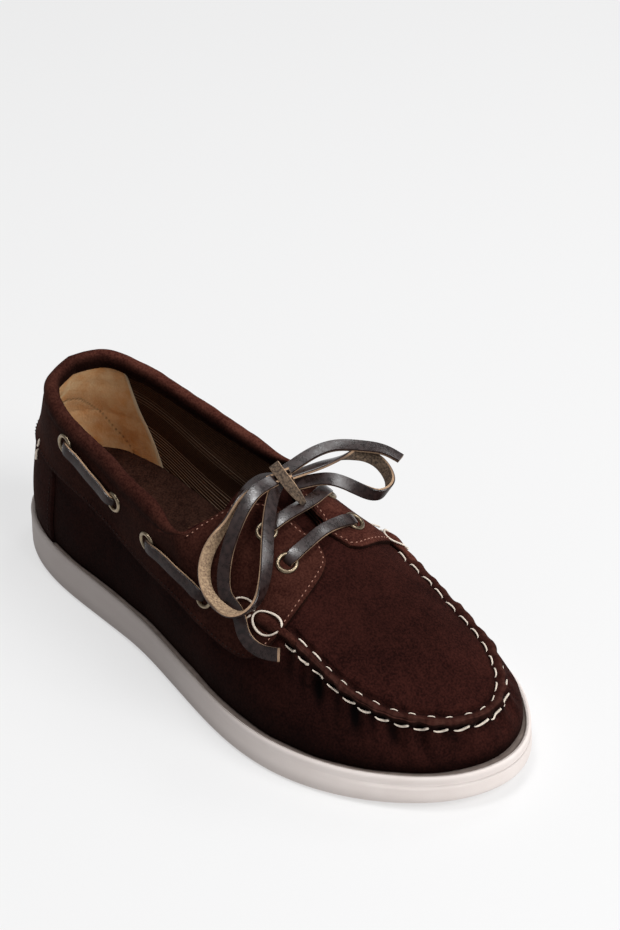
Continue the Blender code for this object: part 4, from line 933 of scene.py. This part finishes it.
def panel_ways(k, inset, from_top=False):
    """Way round and height of a point of the panel, an inset in mm from its lower or top edge.

    k counts the rows of the table from the heel, minus on the inner side.
    """
    rows = cubic(np.arange(LAST_ROW + 1), PANEL_EDGES, np.abs(k))
    sign = np.where(k < 0, -1.0, 1.0)
    low_s = share(np.where(k < 0, rows[..., 4], rows[..., 0])) * sign
    high_s = share(rows[..., 2]) * sign
    top_t = np.minimum(rows[..., 3], panel_rim(high_s)[0] - 0.004)
    wide = np.linalg.norm(surface(high_s, top_t) - surface(low_s, rows[..., 1]), axis=-1)
    a = np.clip(inset / wide, 0, 1)
    a = 1 - a if from_top else a
    return low_s * (1 - a) + high_s * a, rows[..., 1] * (1 - a) + top_t * a, wide


def panel_lift(s, t, over):
    """Height above the upper: its seat and leather, over the sewn ridge under the wing's corner."""
    under = blend(folded(s), share(SEAM_START - 2), share(SEAM_START + 6)) * hump(across_seam(s, t), 0, 2.6)
    return over + 1.5 * under


tips = LAST_ROW - np.array([0.0, 0.008, 0.025, 0.05, 0.09, 0.14])
k = np.concatenate([tips, np.linspace(LAST_ROW - 0.2, -LAST_ROW + 0.2, 421), -tips[::-1]])[:, None]
rows_k = len(k)
_, _, wide = panel_ways(k, np.array([0.0]))
inset = np.concatenate([[0.0, 0.0, 0.12, 0.4, 0.9, 1.5], np.zeros(24)]) * np.ones((rows_k, 1))
inset[:, 6:] = 1.5 + (wide - 1.5) * np.linspace(1 / 24, 1, 24)
over = np.concatenate([[0.15, 1.2, 1.8, 2.1, 2.2], np.full(25, PANEL_SEAT + PANEL)])
s, t, _ = panel_ways(k, inset)
points = skin(s, t, panel_lift(s, t, over))
points += outward(s, t) * (0.25 * ripple(points, 30.0, 5) * np.clip(inset / 4, 0, 1))[..., None]
base = skin(s, t, panel_lift(s, t, 0.15))
# the fold at the top edge: an ellipse, full size round the foam roll, a leather's thickness at the wings
s_top, t_top = s[:, -1], t[:, -1]
_, _, _, _, seam_here, end_here, _ = rib_ends(s_top)
down = unit(surface(s_top, 0.98) - surface(s_top, 1.0))
normal = outward(s_top, 0.99)
rolled = panel_rim(s_top)[1][:, None]
centre = ((end_here + down * ROLL_SINK - normal * WALL / 2) * rolled
          + (skin(s_top, t_top, np.full(rows_k, PANEL_SEAT + PANEL / 2)) + 0.5 * down) * (1 - rolled))
across_half = ROLL_ACROSS * rolled + PANEL / 2 * (1 - rolled)
up_half = ROLL_UP * rolled + 0.9 * (1 - rolled)
angle = np.radians(np.linspace(-38, 236, 26))
fold = (centre[:, None] + (across_half * np.cos(angle))[..., None] * normal[:, None]
        - (up_half * np.sin(angle))[..., None] * down[:, None])
fold += (fold - centre[:, None]) * (0.035 * ripple(fold, 11.0, 6) * rolled)[..., None]
tuck_t = t_top - 0.05
tucked = skin(s_top, tuck_t, -1.0 * rolled[:, 0] + 0.4 * (1 - rolled[:, 0]))[:, None]
grid = np.concatenate([points, fold, tucked], 1)
under = np.concatenate([base, np.repeat(base[:, -1:], 27, 1)], 1)
along_mm = np.concatenate([[0.0], np.cumsum(np.linalg.norm(np.diff(points[:, 12], axis=0), axis=1))])
to_tip = np.minimum(along_mm, along_mm[-1] - along_mm)[:, None, None]
rounded = np.sqrt(np.clip(1 - (1 - to_tip / 1.1) ** 2, 0, 1) * (to_tip < 1.1) + (to_tip >= 1.1))
grid = under + (grid - under) * rounded
make_piece("collar_panel", grid, grid_faces(rows_k, grid.shape[1])[:, ::-1], (panel_suede,), slot="suede",
           replaced=("quarter_outer", "quarter_inner", "collar_roll"))

# ------------------------------------------------------------------------------- heel strip
# A strip of suede round the counter, from the sole up under the panel, sewn down both ends.
k = np.linspace(-1, 1, 141)
edge_at = np.sqrt(np.clip(1 - (1 - (1 - np.abs(k)) * 60 / 1.2) ** 2, 0, 1) * ((1 - np.abs(k)) * 60 < 1.2)
                  + ((1 - np.abs(k)) * 60 >= 1.2))[:, None]
t = np.linspace(0.0, 0.52, 30)
lean_in = 0.004 * (t / 0.5)
s = k[:, None] * (share(-106.0) - lean_in)
strip_lift = 0.2 + (1.3 - 0.2) * edge_at * np.ones_like(t)
points = skin(s, np.broadcast_to(t, s.shape), strip_lift)
points[:, 0, 2] -= 0.5
make_piece("heel_strip", points, grid_faces(141, 30), (suede,), slot="suede",
           replaced=("back_stay",))

# ------------------------------------------------------------------------------- tongue
# Soft suede tongue with a thin lining, under the throat, its rounded end stitched along the edge.
TONGUE = np.array([
    # x  half width  middle z  fall at the edge
    (-6.0, 17.5, 83.5, 4.4), (0.0, 18.5, 83.7, 5.0), (8.0, 19.0, 82.9, 5.4),
    (20.0, 18.5, 79.7, 5.4), (34.0, 17.0, 74.7, 5.2), (48.0, 14.0, 69.5, 4.0)])
TONGUE_THICK = 2.0


def tongue_point(x, v, drop):
    """Tongue: an arch across the instep whose middle height and fall change along its length."""
    half_wide, middle, fall = np.moveaxis(cubic(TONGUE[:, 0], TONGUE[:, 1:], x), -1, 0)
    rear = -2.0 * (1 - v ** 2) * (1 - blend(x, -6.0, 6.0))
    point = np.stack([x + rear, half_wide * v, middle - fall * v ** 2], -1)
    ahead, behind = (cubic(TONGUE[:, 0], TONGUE[:, 2], x + step)[..., 0] for step in (0.01, -0.01))
    slope = (ahead - behind) / 0.02
    normal = unit(np.stack([-slope, 2 * fall * v / half_wide, np.ones_like(slope)], -1))
    return point - normal * np.asarray(drop)[..., None], normal


x = np.linspace(-6, 48, 70)[:, None]
v = np.sin(np.linspace(-np.pi / 2, np.pi / 2, 51))
x, v = np.broadcast_arrays(x, v)
lumps = 0.3 * np.sin(x / 6.0) * np.cos(v * 4)
top_points, _ = tongue_point(x, v, lumps * (1 - np.abs(v)) + 0.5 * np.abs(v) ** 12)
low_points, _ = tongue_point(x, v, TONGUE_THICK - 0.4 * np.abs(v) ** 12)
both = np.stack([top_points, low_points])
count = 70 * 51
faces = [grid_faces(70, 51), grid_faces(70, 51)[:, ::-1] + count]
numbers = np.arange(count).reshape(70, 51)
loop = np.concatenate([numbers[0, :-1], numbers[:-1, -1], numbers[-1, :0:-1], numbers[:0:-1, 0]])
ahead = np.roll(loop, -1)
faces.append(np.stack([loop, loop + count, ahead + count, ahead], -1))
make_piece("tongue_suede", both.reshape(-1, 3), np.vstack(faces), (suede,), slot="suede",
           replaced=("tongue",))

# ------------------------------------------------------------------------------- eyelets
# Rolled brass eyelets, pressed, tumbled and antiqued; the lace goes down their barrels, each closed below by
# a disc of painted shade.
EYELETS = np.array([
    # outer at  t  inner at  t
    (-99.0, 0.88, -99.0, 0.88), (-54.0, 0.79, -54.0, 0.79), (-29.0, 0.70, -29.0, 0.70),
    (7.0, 0.53, 7.0, 0.53), (30.0, 0.87, 25.0, 0.80), (42.0, 0.81, 42.0, 0.81)])
PANEL_TOP = PANEL_SEAT + PANEL
EYELET_RING = np.array([
    # out from the axis  up it
    (5.0, -0.3), (5.0, 0.15), (4.92, 0.5), (4.7, 0.8), (4.4, 0.98), (4.05, 1.03), (3.7, 0.95), (3.4, 0.72),
    (3.2, 0.4), (3.08, -0.1), (3.02, -0.7), (3.0, -1.2)])
brass, shader = new_finish("pressed brass, antiqued", Metallic=1.0, Roughness=0.35)
where = add(brass, "TexCoord")
tarnish = add(brass, "TexNoise", {"Vector": where.outputs["Object"], "Scale": 500.0, "Detail": 4.0})
tone = add(brass, "Mix", {0: tarnish.outputs["Fac"], 6: colour("#4c4238"), 7: colour("#b3a288")},
           data_type="RGBA")
gloss = add(brass, "MapRange", {"Value": tarnish.outputs["Fac"], "To Min": 0.25, "To Max": 0.45})
join(brass, shader, Base_Color=tone.outputs[2], Roughness=gloss.outputs[0])
# a near black disc closes each barrel: painted shade where the hole goes dark
barrel, _ = new_finish("painted shade closing the eyelet's barrel", Base_Color=colour("#0b0807"), Roughness=0.9)


def eyelet_at(number, sign):
    """Way round the shoe, minus on the inner side, and height up the rib of one eyelet."""
    at, high = EYELETS[number, :2] if sign > 0 else EYELETS[number, 2:]
    return sign * share(at), high


angle = np.linspace(0, 2 * np.pi, 40, endpoint=False)[:, None]
for side_name, sign in (("outer", 1), ("inner", -1)):
    for number in range(1, len(EYELETS) + 1):
        s_here, high = eyelet_at(number - 1, sign)
        axis = outward(s_here, high)
        across = unit(np.cross(axis, (0, 0, 1.0)))
        along = np.cross(axis, across)
        ring = np.cos(angle) * across + np.sin(angle) * along
        middle = skin(s_here, high, PANEL_TOP + 0.1)
        points = middle + EYELET_RING[:, 0, None, None] * ring + EYELET_RING[:, 1, None, None] * axis
        points = np.moveaxis(points, 0, 1)
        faces = grid_faces(40, len(EYELET_RING), True)
        bottom = np.arange(40) * len(EYELET_RING) + len(EYELET_RING) - 1
        make_piece(f"brass_eyelet_{side_name}_{number}", points, faces[:, ::-1], (brass, barrel),
                   np.zeros(len(faces), int), (bottom.tolist(),), slot="brass",
                   replaced=(f"eyelet_{side_name}_{number}",))

# ------------------------------------------------------------------------------- sewn lace
# The same thong where it runs along the collar between eyelets, and across the throat.


def down_eyelet(s_here, high, way, ends_first):
    """Points and glazed side where the lace turns over an eyelet's rim and down its barrel."""
    axis = outward(s_here, high)
    middle = surface(s_here, high)
    way = unit(way - np.sum(way * axis) * axis)
    steps = ((-0.6, 0.0, -1.0, 0.1), (0.1, 1.6, -1.0, 0.2), (0.9, 3.3, -0.8, 0.7), (3.0, 4.15, -0.2, 1.0))
    rows = [[*(middle + along * way + lift * axis), *(unit(lean * way + stand * axis))]
            for along, lift, lean, stand in steps]
    return rows if ends_first else rows[::-1]


def sewn_run(name, first, second, middle_rows, replaced):
    """Lace from one eyelet to another on one smooth spline, curled narrower where it goes in."""
    (s_1, t_1), (s_2, t_2) = first, second
    ahead = np.array(middle_rows[0][:3]) - surface(s_1, t_1)
    behind = np.array(middle_rows[-1][:3]) - surface(s_2, t_2)
    rows = down_eyelet(s_1, t_1, ahead, True) + list(middle_rows) + down_eyelet(s_2, t_2, behind, False)
    path, face = lay_route(rows, 0.7)
    run = np.arange(len(path)) * 0.7
    to_end = np.minimum(run, run[-1] - run)
    strap(name, path, face, shaded_flesh, replaced, narrowing=0.72 + 0.28 * blend(to_end, 2.0, 8.0))


for side_name, sign in (("outer", 1), ("inner", -1)):
    for end_name, one, two in (("rear", 0, 1), ("front", 2, 3)):
        first, second = eyelet_at(one, sign), eyelet_at(two, sign)
        f = np.array((0.2, 0.5, 0.8))[:, None]
        axes = [outward(*first), outward(*second)]
        ends = [surface(*place) + 4.0 * axis for place, axis in zip((first, second), axes)]
        rows = np.hstack([ends[0] * (1 - f) + ends[1] * f, axes[0] * (1 - f) + axes[1] * f])
        sewn_run(f"thong_run_{side_name}_{end_name}", first, second, rows.tolist(),
                 (f"lace_run_{side_name}_{end_name}",))

for end_name, number, middles in (
        ("front", 5, ((38.6, -10.5, 81.4, 0.2, -0.4, 0.9), (38.4, -0.9, 82.6, 0.2, -0.2, 1.0),
                      (38.2, 10.0, 81.0, 0.3, 0.1, 0.9))),
        ("rear", 4, ((23.2, -11.5, 86.6, 0.2, -0.4, 0.9), (24.6, -2.5, 88.2, 0.3, -0.3, 0.9),
                     (23.8, 10.0, 87.0, 0.3, -0.1, 0.9)))):
    sewn_run(f"thong_bar_{end_name}", eyelet_at(number, 1), eyelet_at(number, -1), middles,
             (f"lace_bar_{end_name}",))

# ------------------------------------------------------------------------------- stitching
# Moccasin seam by hand in thick waxed off-white thread, long stitches outside the ridge and short
# ones inside; machine rows along the cut edges in thin thread, pinkish tan over the instep and
# brown where the panel runs low; two hand-sewn rings where the wing meets the seam's rear end.
def make_thread(name, dark, light):
    """Twisted thread: two tones by a fine noise, and a bump of the same."""
    made, shader = new_finish(name, Roughness=0.8, Specular_IOR_Level=0.2)
    where = add(made, "TexCoord")
    twist = add(made, "TexNoise", {"Vector": where.outputs["Object"], "Scale": 1400.0, "Detail": 2.0})
    tone = add(made, "Mix", {0: twist.outputs["Fac"], 6: colour(dark), 7: colour(light)}, data_type="RGBA")
    dent = add(made, "Bump", {"Strength": 0.5, "Distance": 0.0002, "Height": twist.outputs["Fac"]})
    join(made, shader, Base_Color=tone.outputs[2], Normal=dent.outputs[0])
    return made


waxed_thread = make_thread("waxed polyester hand thread, off-white", "#cdbba8", "#fff4e6")
tan_thread = make_thread("bonded polyester thread, pinkish tan", "#7d5144", "#cc9c88")
brown_thread = make_thread("bonded polyester thread, brown", "#150c0a", "#2c1a15")


def stitches(name, paths, normals, radius, finish, sides=6, swell=1.0):
    """Thread stitches: each row of points is a tube of radius times swell, pinched in at its ends."""
    count, long = paths.shape[:2]
    forward = unit(np.gradient(paths, axis=1))
    normals = np.broadcast_to(normals[:, None] if normals.ndim == 2 else normals, paths.shape)
    across = unit(np.cross(normals, forward))
    above = np.cross(forward, across)
    pinch = radius * np.broadcast_to(swell, (count, long)).copy()
    pinch[:, [0, -1]] *= 0.25
    angle = np.linspace(0, 2 * np.pi, sides, endpoint=False)
    rings = (paths[:, :, None] + pinch[:, :, None, None] * (np.cos(angle)[:, None] * across[:, :, None]
                                                        + np.sin(angle)[:, None] * above[:, :, None]))
    faces = (grid_faces(long, sides, False, True)[None] + (np.arange(count) * long * sides)[:, None, None])
    starts = np.arange(count)[:, None] * long * sides + np.arange(sides)
    caps = starts.tolist() + (starts[:, ::-1] + (long - 1) * sides).tolist()
    return make_piece(name, rings, faces.reshape(-1, 4)[:, ::-1], (finish, finish), None, caps)


def sewn_edge(name, line, normals, pitch, long, radius, sink, finish):
    """Machine row along a line of points: arched stitches at an even pitch of arc length."""
    run = np.concatenate([[0.0], np.cumsum(np.linalg.norm(np.diff(line, axis=0), axis=1))])
    starts = np.arange(pitch, run[-1] - pitch, pitch)
    f = np.linspace(0, 1, 5)
    at = starts[:, None] + long * f
    arch = radius * (1.7 * np.sin(np.pi * f) - 0.6) - sink
    path = np.stack([np.interp(at, run, line[:, axis]) for axis in range(3)], -1)
    facing = unit(np.stack([np.interp(at, run, normals[:, axis]) for axis in range(3)], -1))
    return stitches(name, path + facing * arch[:, None], facing, radius, finish, 5)


def seam_point(run, d, lift):
    """Point and normal beside the seam, from the way along it and millimetres across it."""
    s_here = np.interp(run, SEAM_RUN, SEAM_WAY)
    t_here = height_at(s_here, d + seam_climb(s_here))
    return skin(s_here, t_here, upper_lift(s_here, t_here) + lift), outward(s_here, t_here)


hand = np.random.default_rng(12)
middles = SEAM_FIRST + STITCH * (np.arange(SEAM_STITCHES) + 0.5)
f = np.linspace(-1, 1, 11)
# the inside row sinks behind the ridge from the outer side's front round to the inner side of the toe
way = np.interp(middles + STITCH / 2, SEAM_RUN, SEAM_WAY)
far = blend(way, 1.02, 1.12)[:, None]
sunk = (blend(way, share(72.0), share(84.0)) * (1 - blend(way, 2 - share(146.0), 2 - share(140.0))))[:, None]
wobble = hand.uniform(-0.45, 0.45, (SEAM_STITCHES, 2))
run = middles[:, None] + 3.5 * f + wobble[:, :1]
d = -2.5 - 1.1 * (1 - f ** 2) + 0.5 * f + 0.4 * wobble[:, 1:] * f
lift = np.broadcast_to(0.35 + 0.4 * (1 - f ** 2) - 1.3 * np.abs(f) ** 8, run.shape)
path, facing = seam_point(run, d, lift)
stitches("moccasin_stitches_outside", path, facing, 0.56, waxed_thread, 8, 0.5 + 0.5 * blend(f, -1.0, 0.3))
wobble = hand.uniform(-0.45, 0.45, (SEAM_STITCHES, 2))
reach = (2.75 - 1.0 * sunk + 0.2 * far) + 0.3 * wobble[:, :1]
run = middles[:, None] + STITCH / 2 + reach * f + wobble[:, :1]
d = 2.35 - 0.35 * sunk + 0.55 * far + 0.3 * (1 - far) * (1 - f ** 2) + 0.3 * wobble[:, 1:] * f
lift = 0.7 - 0.5 * sunk + (0.3 - 0.2 * far) * (1 - f ** 2) - (1.2 - 0.5 * far) * np.abs(f) ** 8
path, facing = seam_point(run, d, lift)
slim = (1 - 0.35 * sunk) * (1 - 0.35 * f ** 4)
stitches("moccasin_stitches_inside", path, facing, 0.38, waxed_thread, 8, slim)

k_top = np.linspace(6.25, LAST_ROW - 0.45, 300)
k_low = np.linspace(9.0, LAST_ROW - 0.45, 260)
k_rear = np.linspace(0.05, 9.0, 500)
for side_name, sign in (("outer", 1), ("inner", -1)):
    top_s, top_t, _ = panel_ways(sign * k_top, np.full(len(k_top), 2.8), True)
    low_s, low_t, _ = panel_ways(sign * k_low, np.full(len(k_low), 2.8))
    f = np.linspace(0, 1, 14)[1:-1]
    wing_s = np.concatenate([low_s, low_s[-1] * (1 - f) + top_s[-1] * f, top_s[::-1]])
    wing_t = np.concatenate([low_t, low_t[-1] * (1 - f) + top_t[-1] * f, top_t[::-1]])
    rear_s, rear_t, _ = panel_ways(sign * k_rear, np.full(len(k_rear), 2.1))
    for row_name, s, t, finish in (("wing", wing_s, wing_t, tan_thread),
                                   ("low", rear_s, rear_t, brown_thread)):
        line = skin(s, t, panel_lift(s, t, PANEL_TOP))
        sewn_edge(f"panel_stitches_{row_name}_{side_name}", line, outward(s, t), 2.6, 1.15, 0.24, 0.0, finish)

v = np.linspace(-0.9, 0.9, 120)
x = -3.6 + 1.0 * v ** 8
line, normals = tongue_point(x, v, np.full(120, -0.2))
sewn_edge("tongue_stitches", line, normals, 2.6, 1.15, 0.24, 0.0, tan_thread)

for side_name, sign in (("outer", 1), ("inner", -1)):
    t = np.linspace(0.03, 0.47, 200)
    s = sign * (share(-109.5) - 0.004 * t / 0.5)
    line = skin(s, t, np.full(200, 1.3))
    sewn_edge(f"heel_stitches_{side_name}", line, outward(s, t), 2.3, 1.5, 0.25, 0.0, brown_thread)

# Where the ridge ends on the wing its two leathers are rolled up and lashed with two thread rings.
SEAM_END = np.array([
    # x    climb  half width  lift
    (34.6, 5.0, 0.05, 1.2), (35.6, 5.0, 1.6, 1.5), (38.0, 4.9, 2.9, 1.9), (42.0, 4.9, 3.4, 2.0), (46.0, 5.0,
                                                                                                  3.1, 1.9),
    (50.0, 5.2, 2.2, 1.9), (53.0, 5.2, 1.9, 1.9), (58.0, 4.7, 2.0, 1.4), (63.0, 4.1, 1.7, 0.2)])
THREAD_RINGS = np.array([
    # x    climb  half along  half across
    (28.5, 5.4, 5.2, 4.6), (42.8, 4.9, 6.6, 5.2)])
at = np.linspace(34.6, 63.0, 60)
climb, half, lift = cubic(SEAM_END[:, 0], SEAM_END[:, 1:], at).T
turn = np.linspace(0, 2 * np.pi, 24, endpoint=False)
angle = np.linspace(0.25, 2 * np.pi - 0.1, 49)[:, None]
for side_name, sign in (("outer", 1), ("inner", -1)):
    lower = 0.0 if sign > 0 else 0.8
    s = sign * share(at)
    t = height_at(s, climb - lower)
    axis = outward(s, t)
    middle = skin(s, t, PANEL_TOP - 2.4 + lift)
    across = np.cross(axis, unit(np.gradient(middle, axis=0)))
    wave = 1 + 0.06 * np.sin(3 * turn + np.arange(60)[:, None] / 5.0)
    rings = middle[:, None] + (np.maximum(half, 0.02)[:, None] * wave)[..., None] * (
        np.cos(turn)[:, None] * across[:, None] + 0.8 * np.sin(turn)[:, None] * axis[:, None])
    faces = grid_faces(60, 24, False, True)[:, ::-sign]
    caps = (range(24)[::-sign], range(59 * 24, 60 * 24)[::sign])
    make_piece(f"seam_end_{side_name}", rings, faces, (panel_suede,), None, caps, slot="suede")
    for number, (x, up, half_along, half_across) in enumerate(THREAD_RINGS, 1):
        s_here = sign * share(x)
        high = height_at(s_here, up - lower)
        axis = outward(s_here, high)
        along = unit(surface(s_here + 0.002, high) - surface(s_here - 0.002, high)) * sign
        across = np.cross(axis, along)
        loose = 1 + 0.07 * np.sin(2 * angle + 0.8) + 0.05 * np.sin(3 * angle)
        rise = PANEL_TOP + 0.9 + 0.7 * np.cos(2 * angle) + 0.3 * np.sin(angle) - 0.8 * hump(angle, 0, 0.5)
        circle = (surface(s_here, high) + loose * half_along * np.cos(angle) * along
                  + loose * half_across * np.sin(angle) * across + rise * axis)
        swell = 0.9 + 0.15 * np.sin(2 * angle[:, 0])
        stitches(f"thread_ring_{side_name}_{number}", circle[None], axis[None], 0.52, waxed_thread, 8, swell)

for side_name, sign in (("outer", 1), ("inner", -1)):
    f = np.linspace(0, 1, 11)
    s = np.full(11, sign * share(-128.0))
    rows = []
    for low, high in ((0.43, 0.50), (0.52, 0.59)):
        t = low + (high - low) * f
        bowed = s + 0.006 * np.sin(np.pi * f) * sign
        rows.append(skin(bowed, t, PANEL_TOP + 0.3 - 1.5 * np.abs(2 * f - 1) ** 6))
    facing = outward(s[:2], np.array((0.46, 0.55)))
    stitches(f"heel_tie_{side_name}", np.stack(rows), facing, 0.55, waxed_thread, 8)
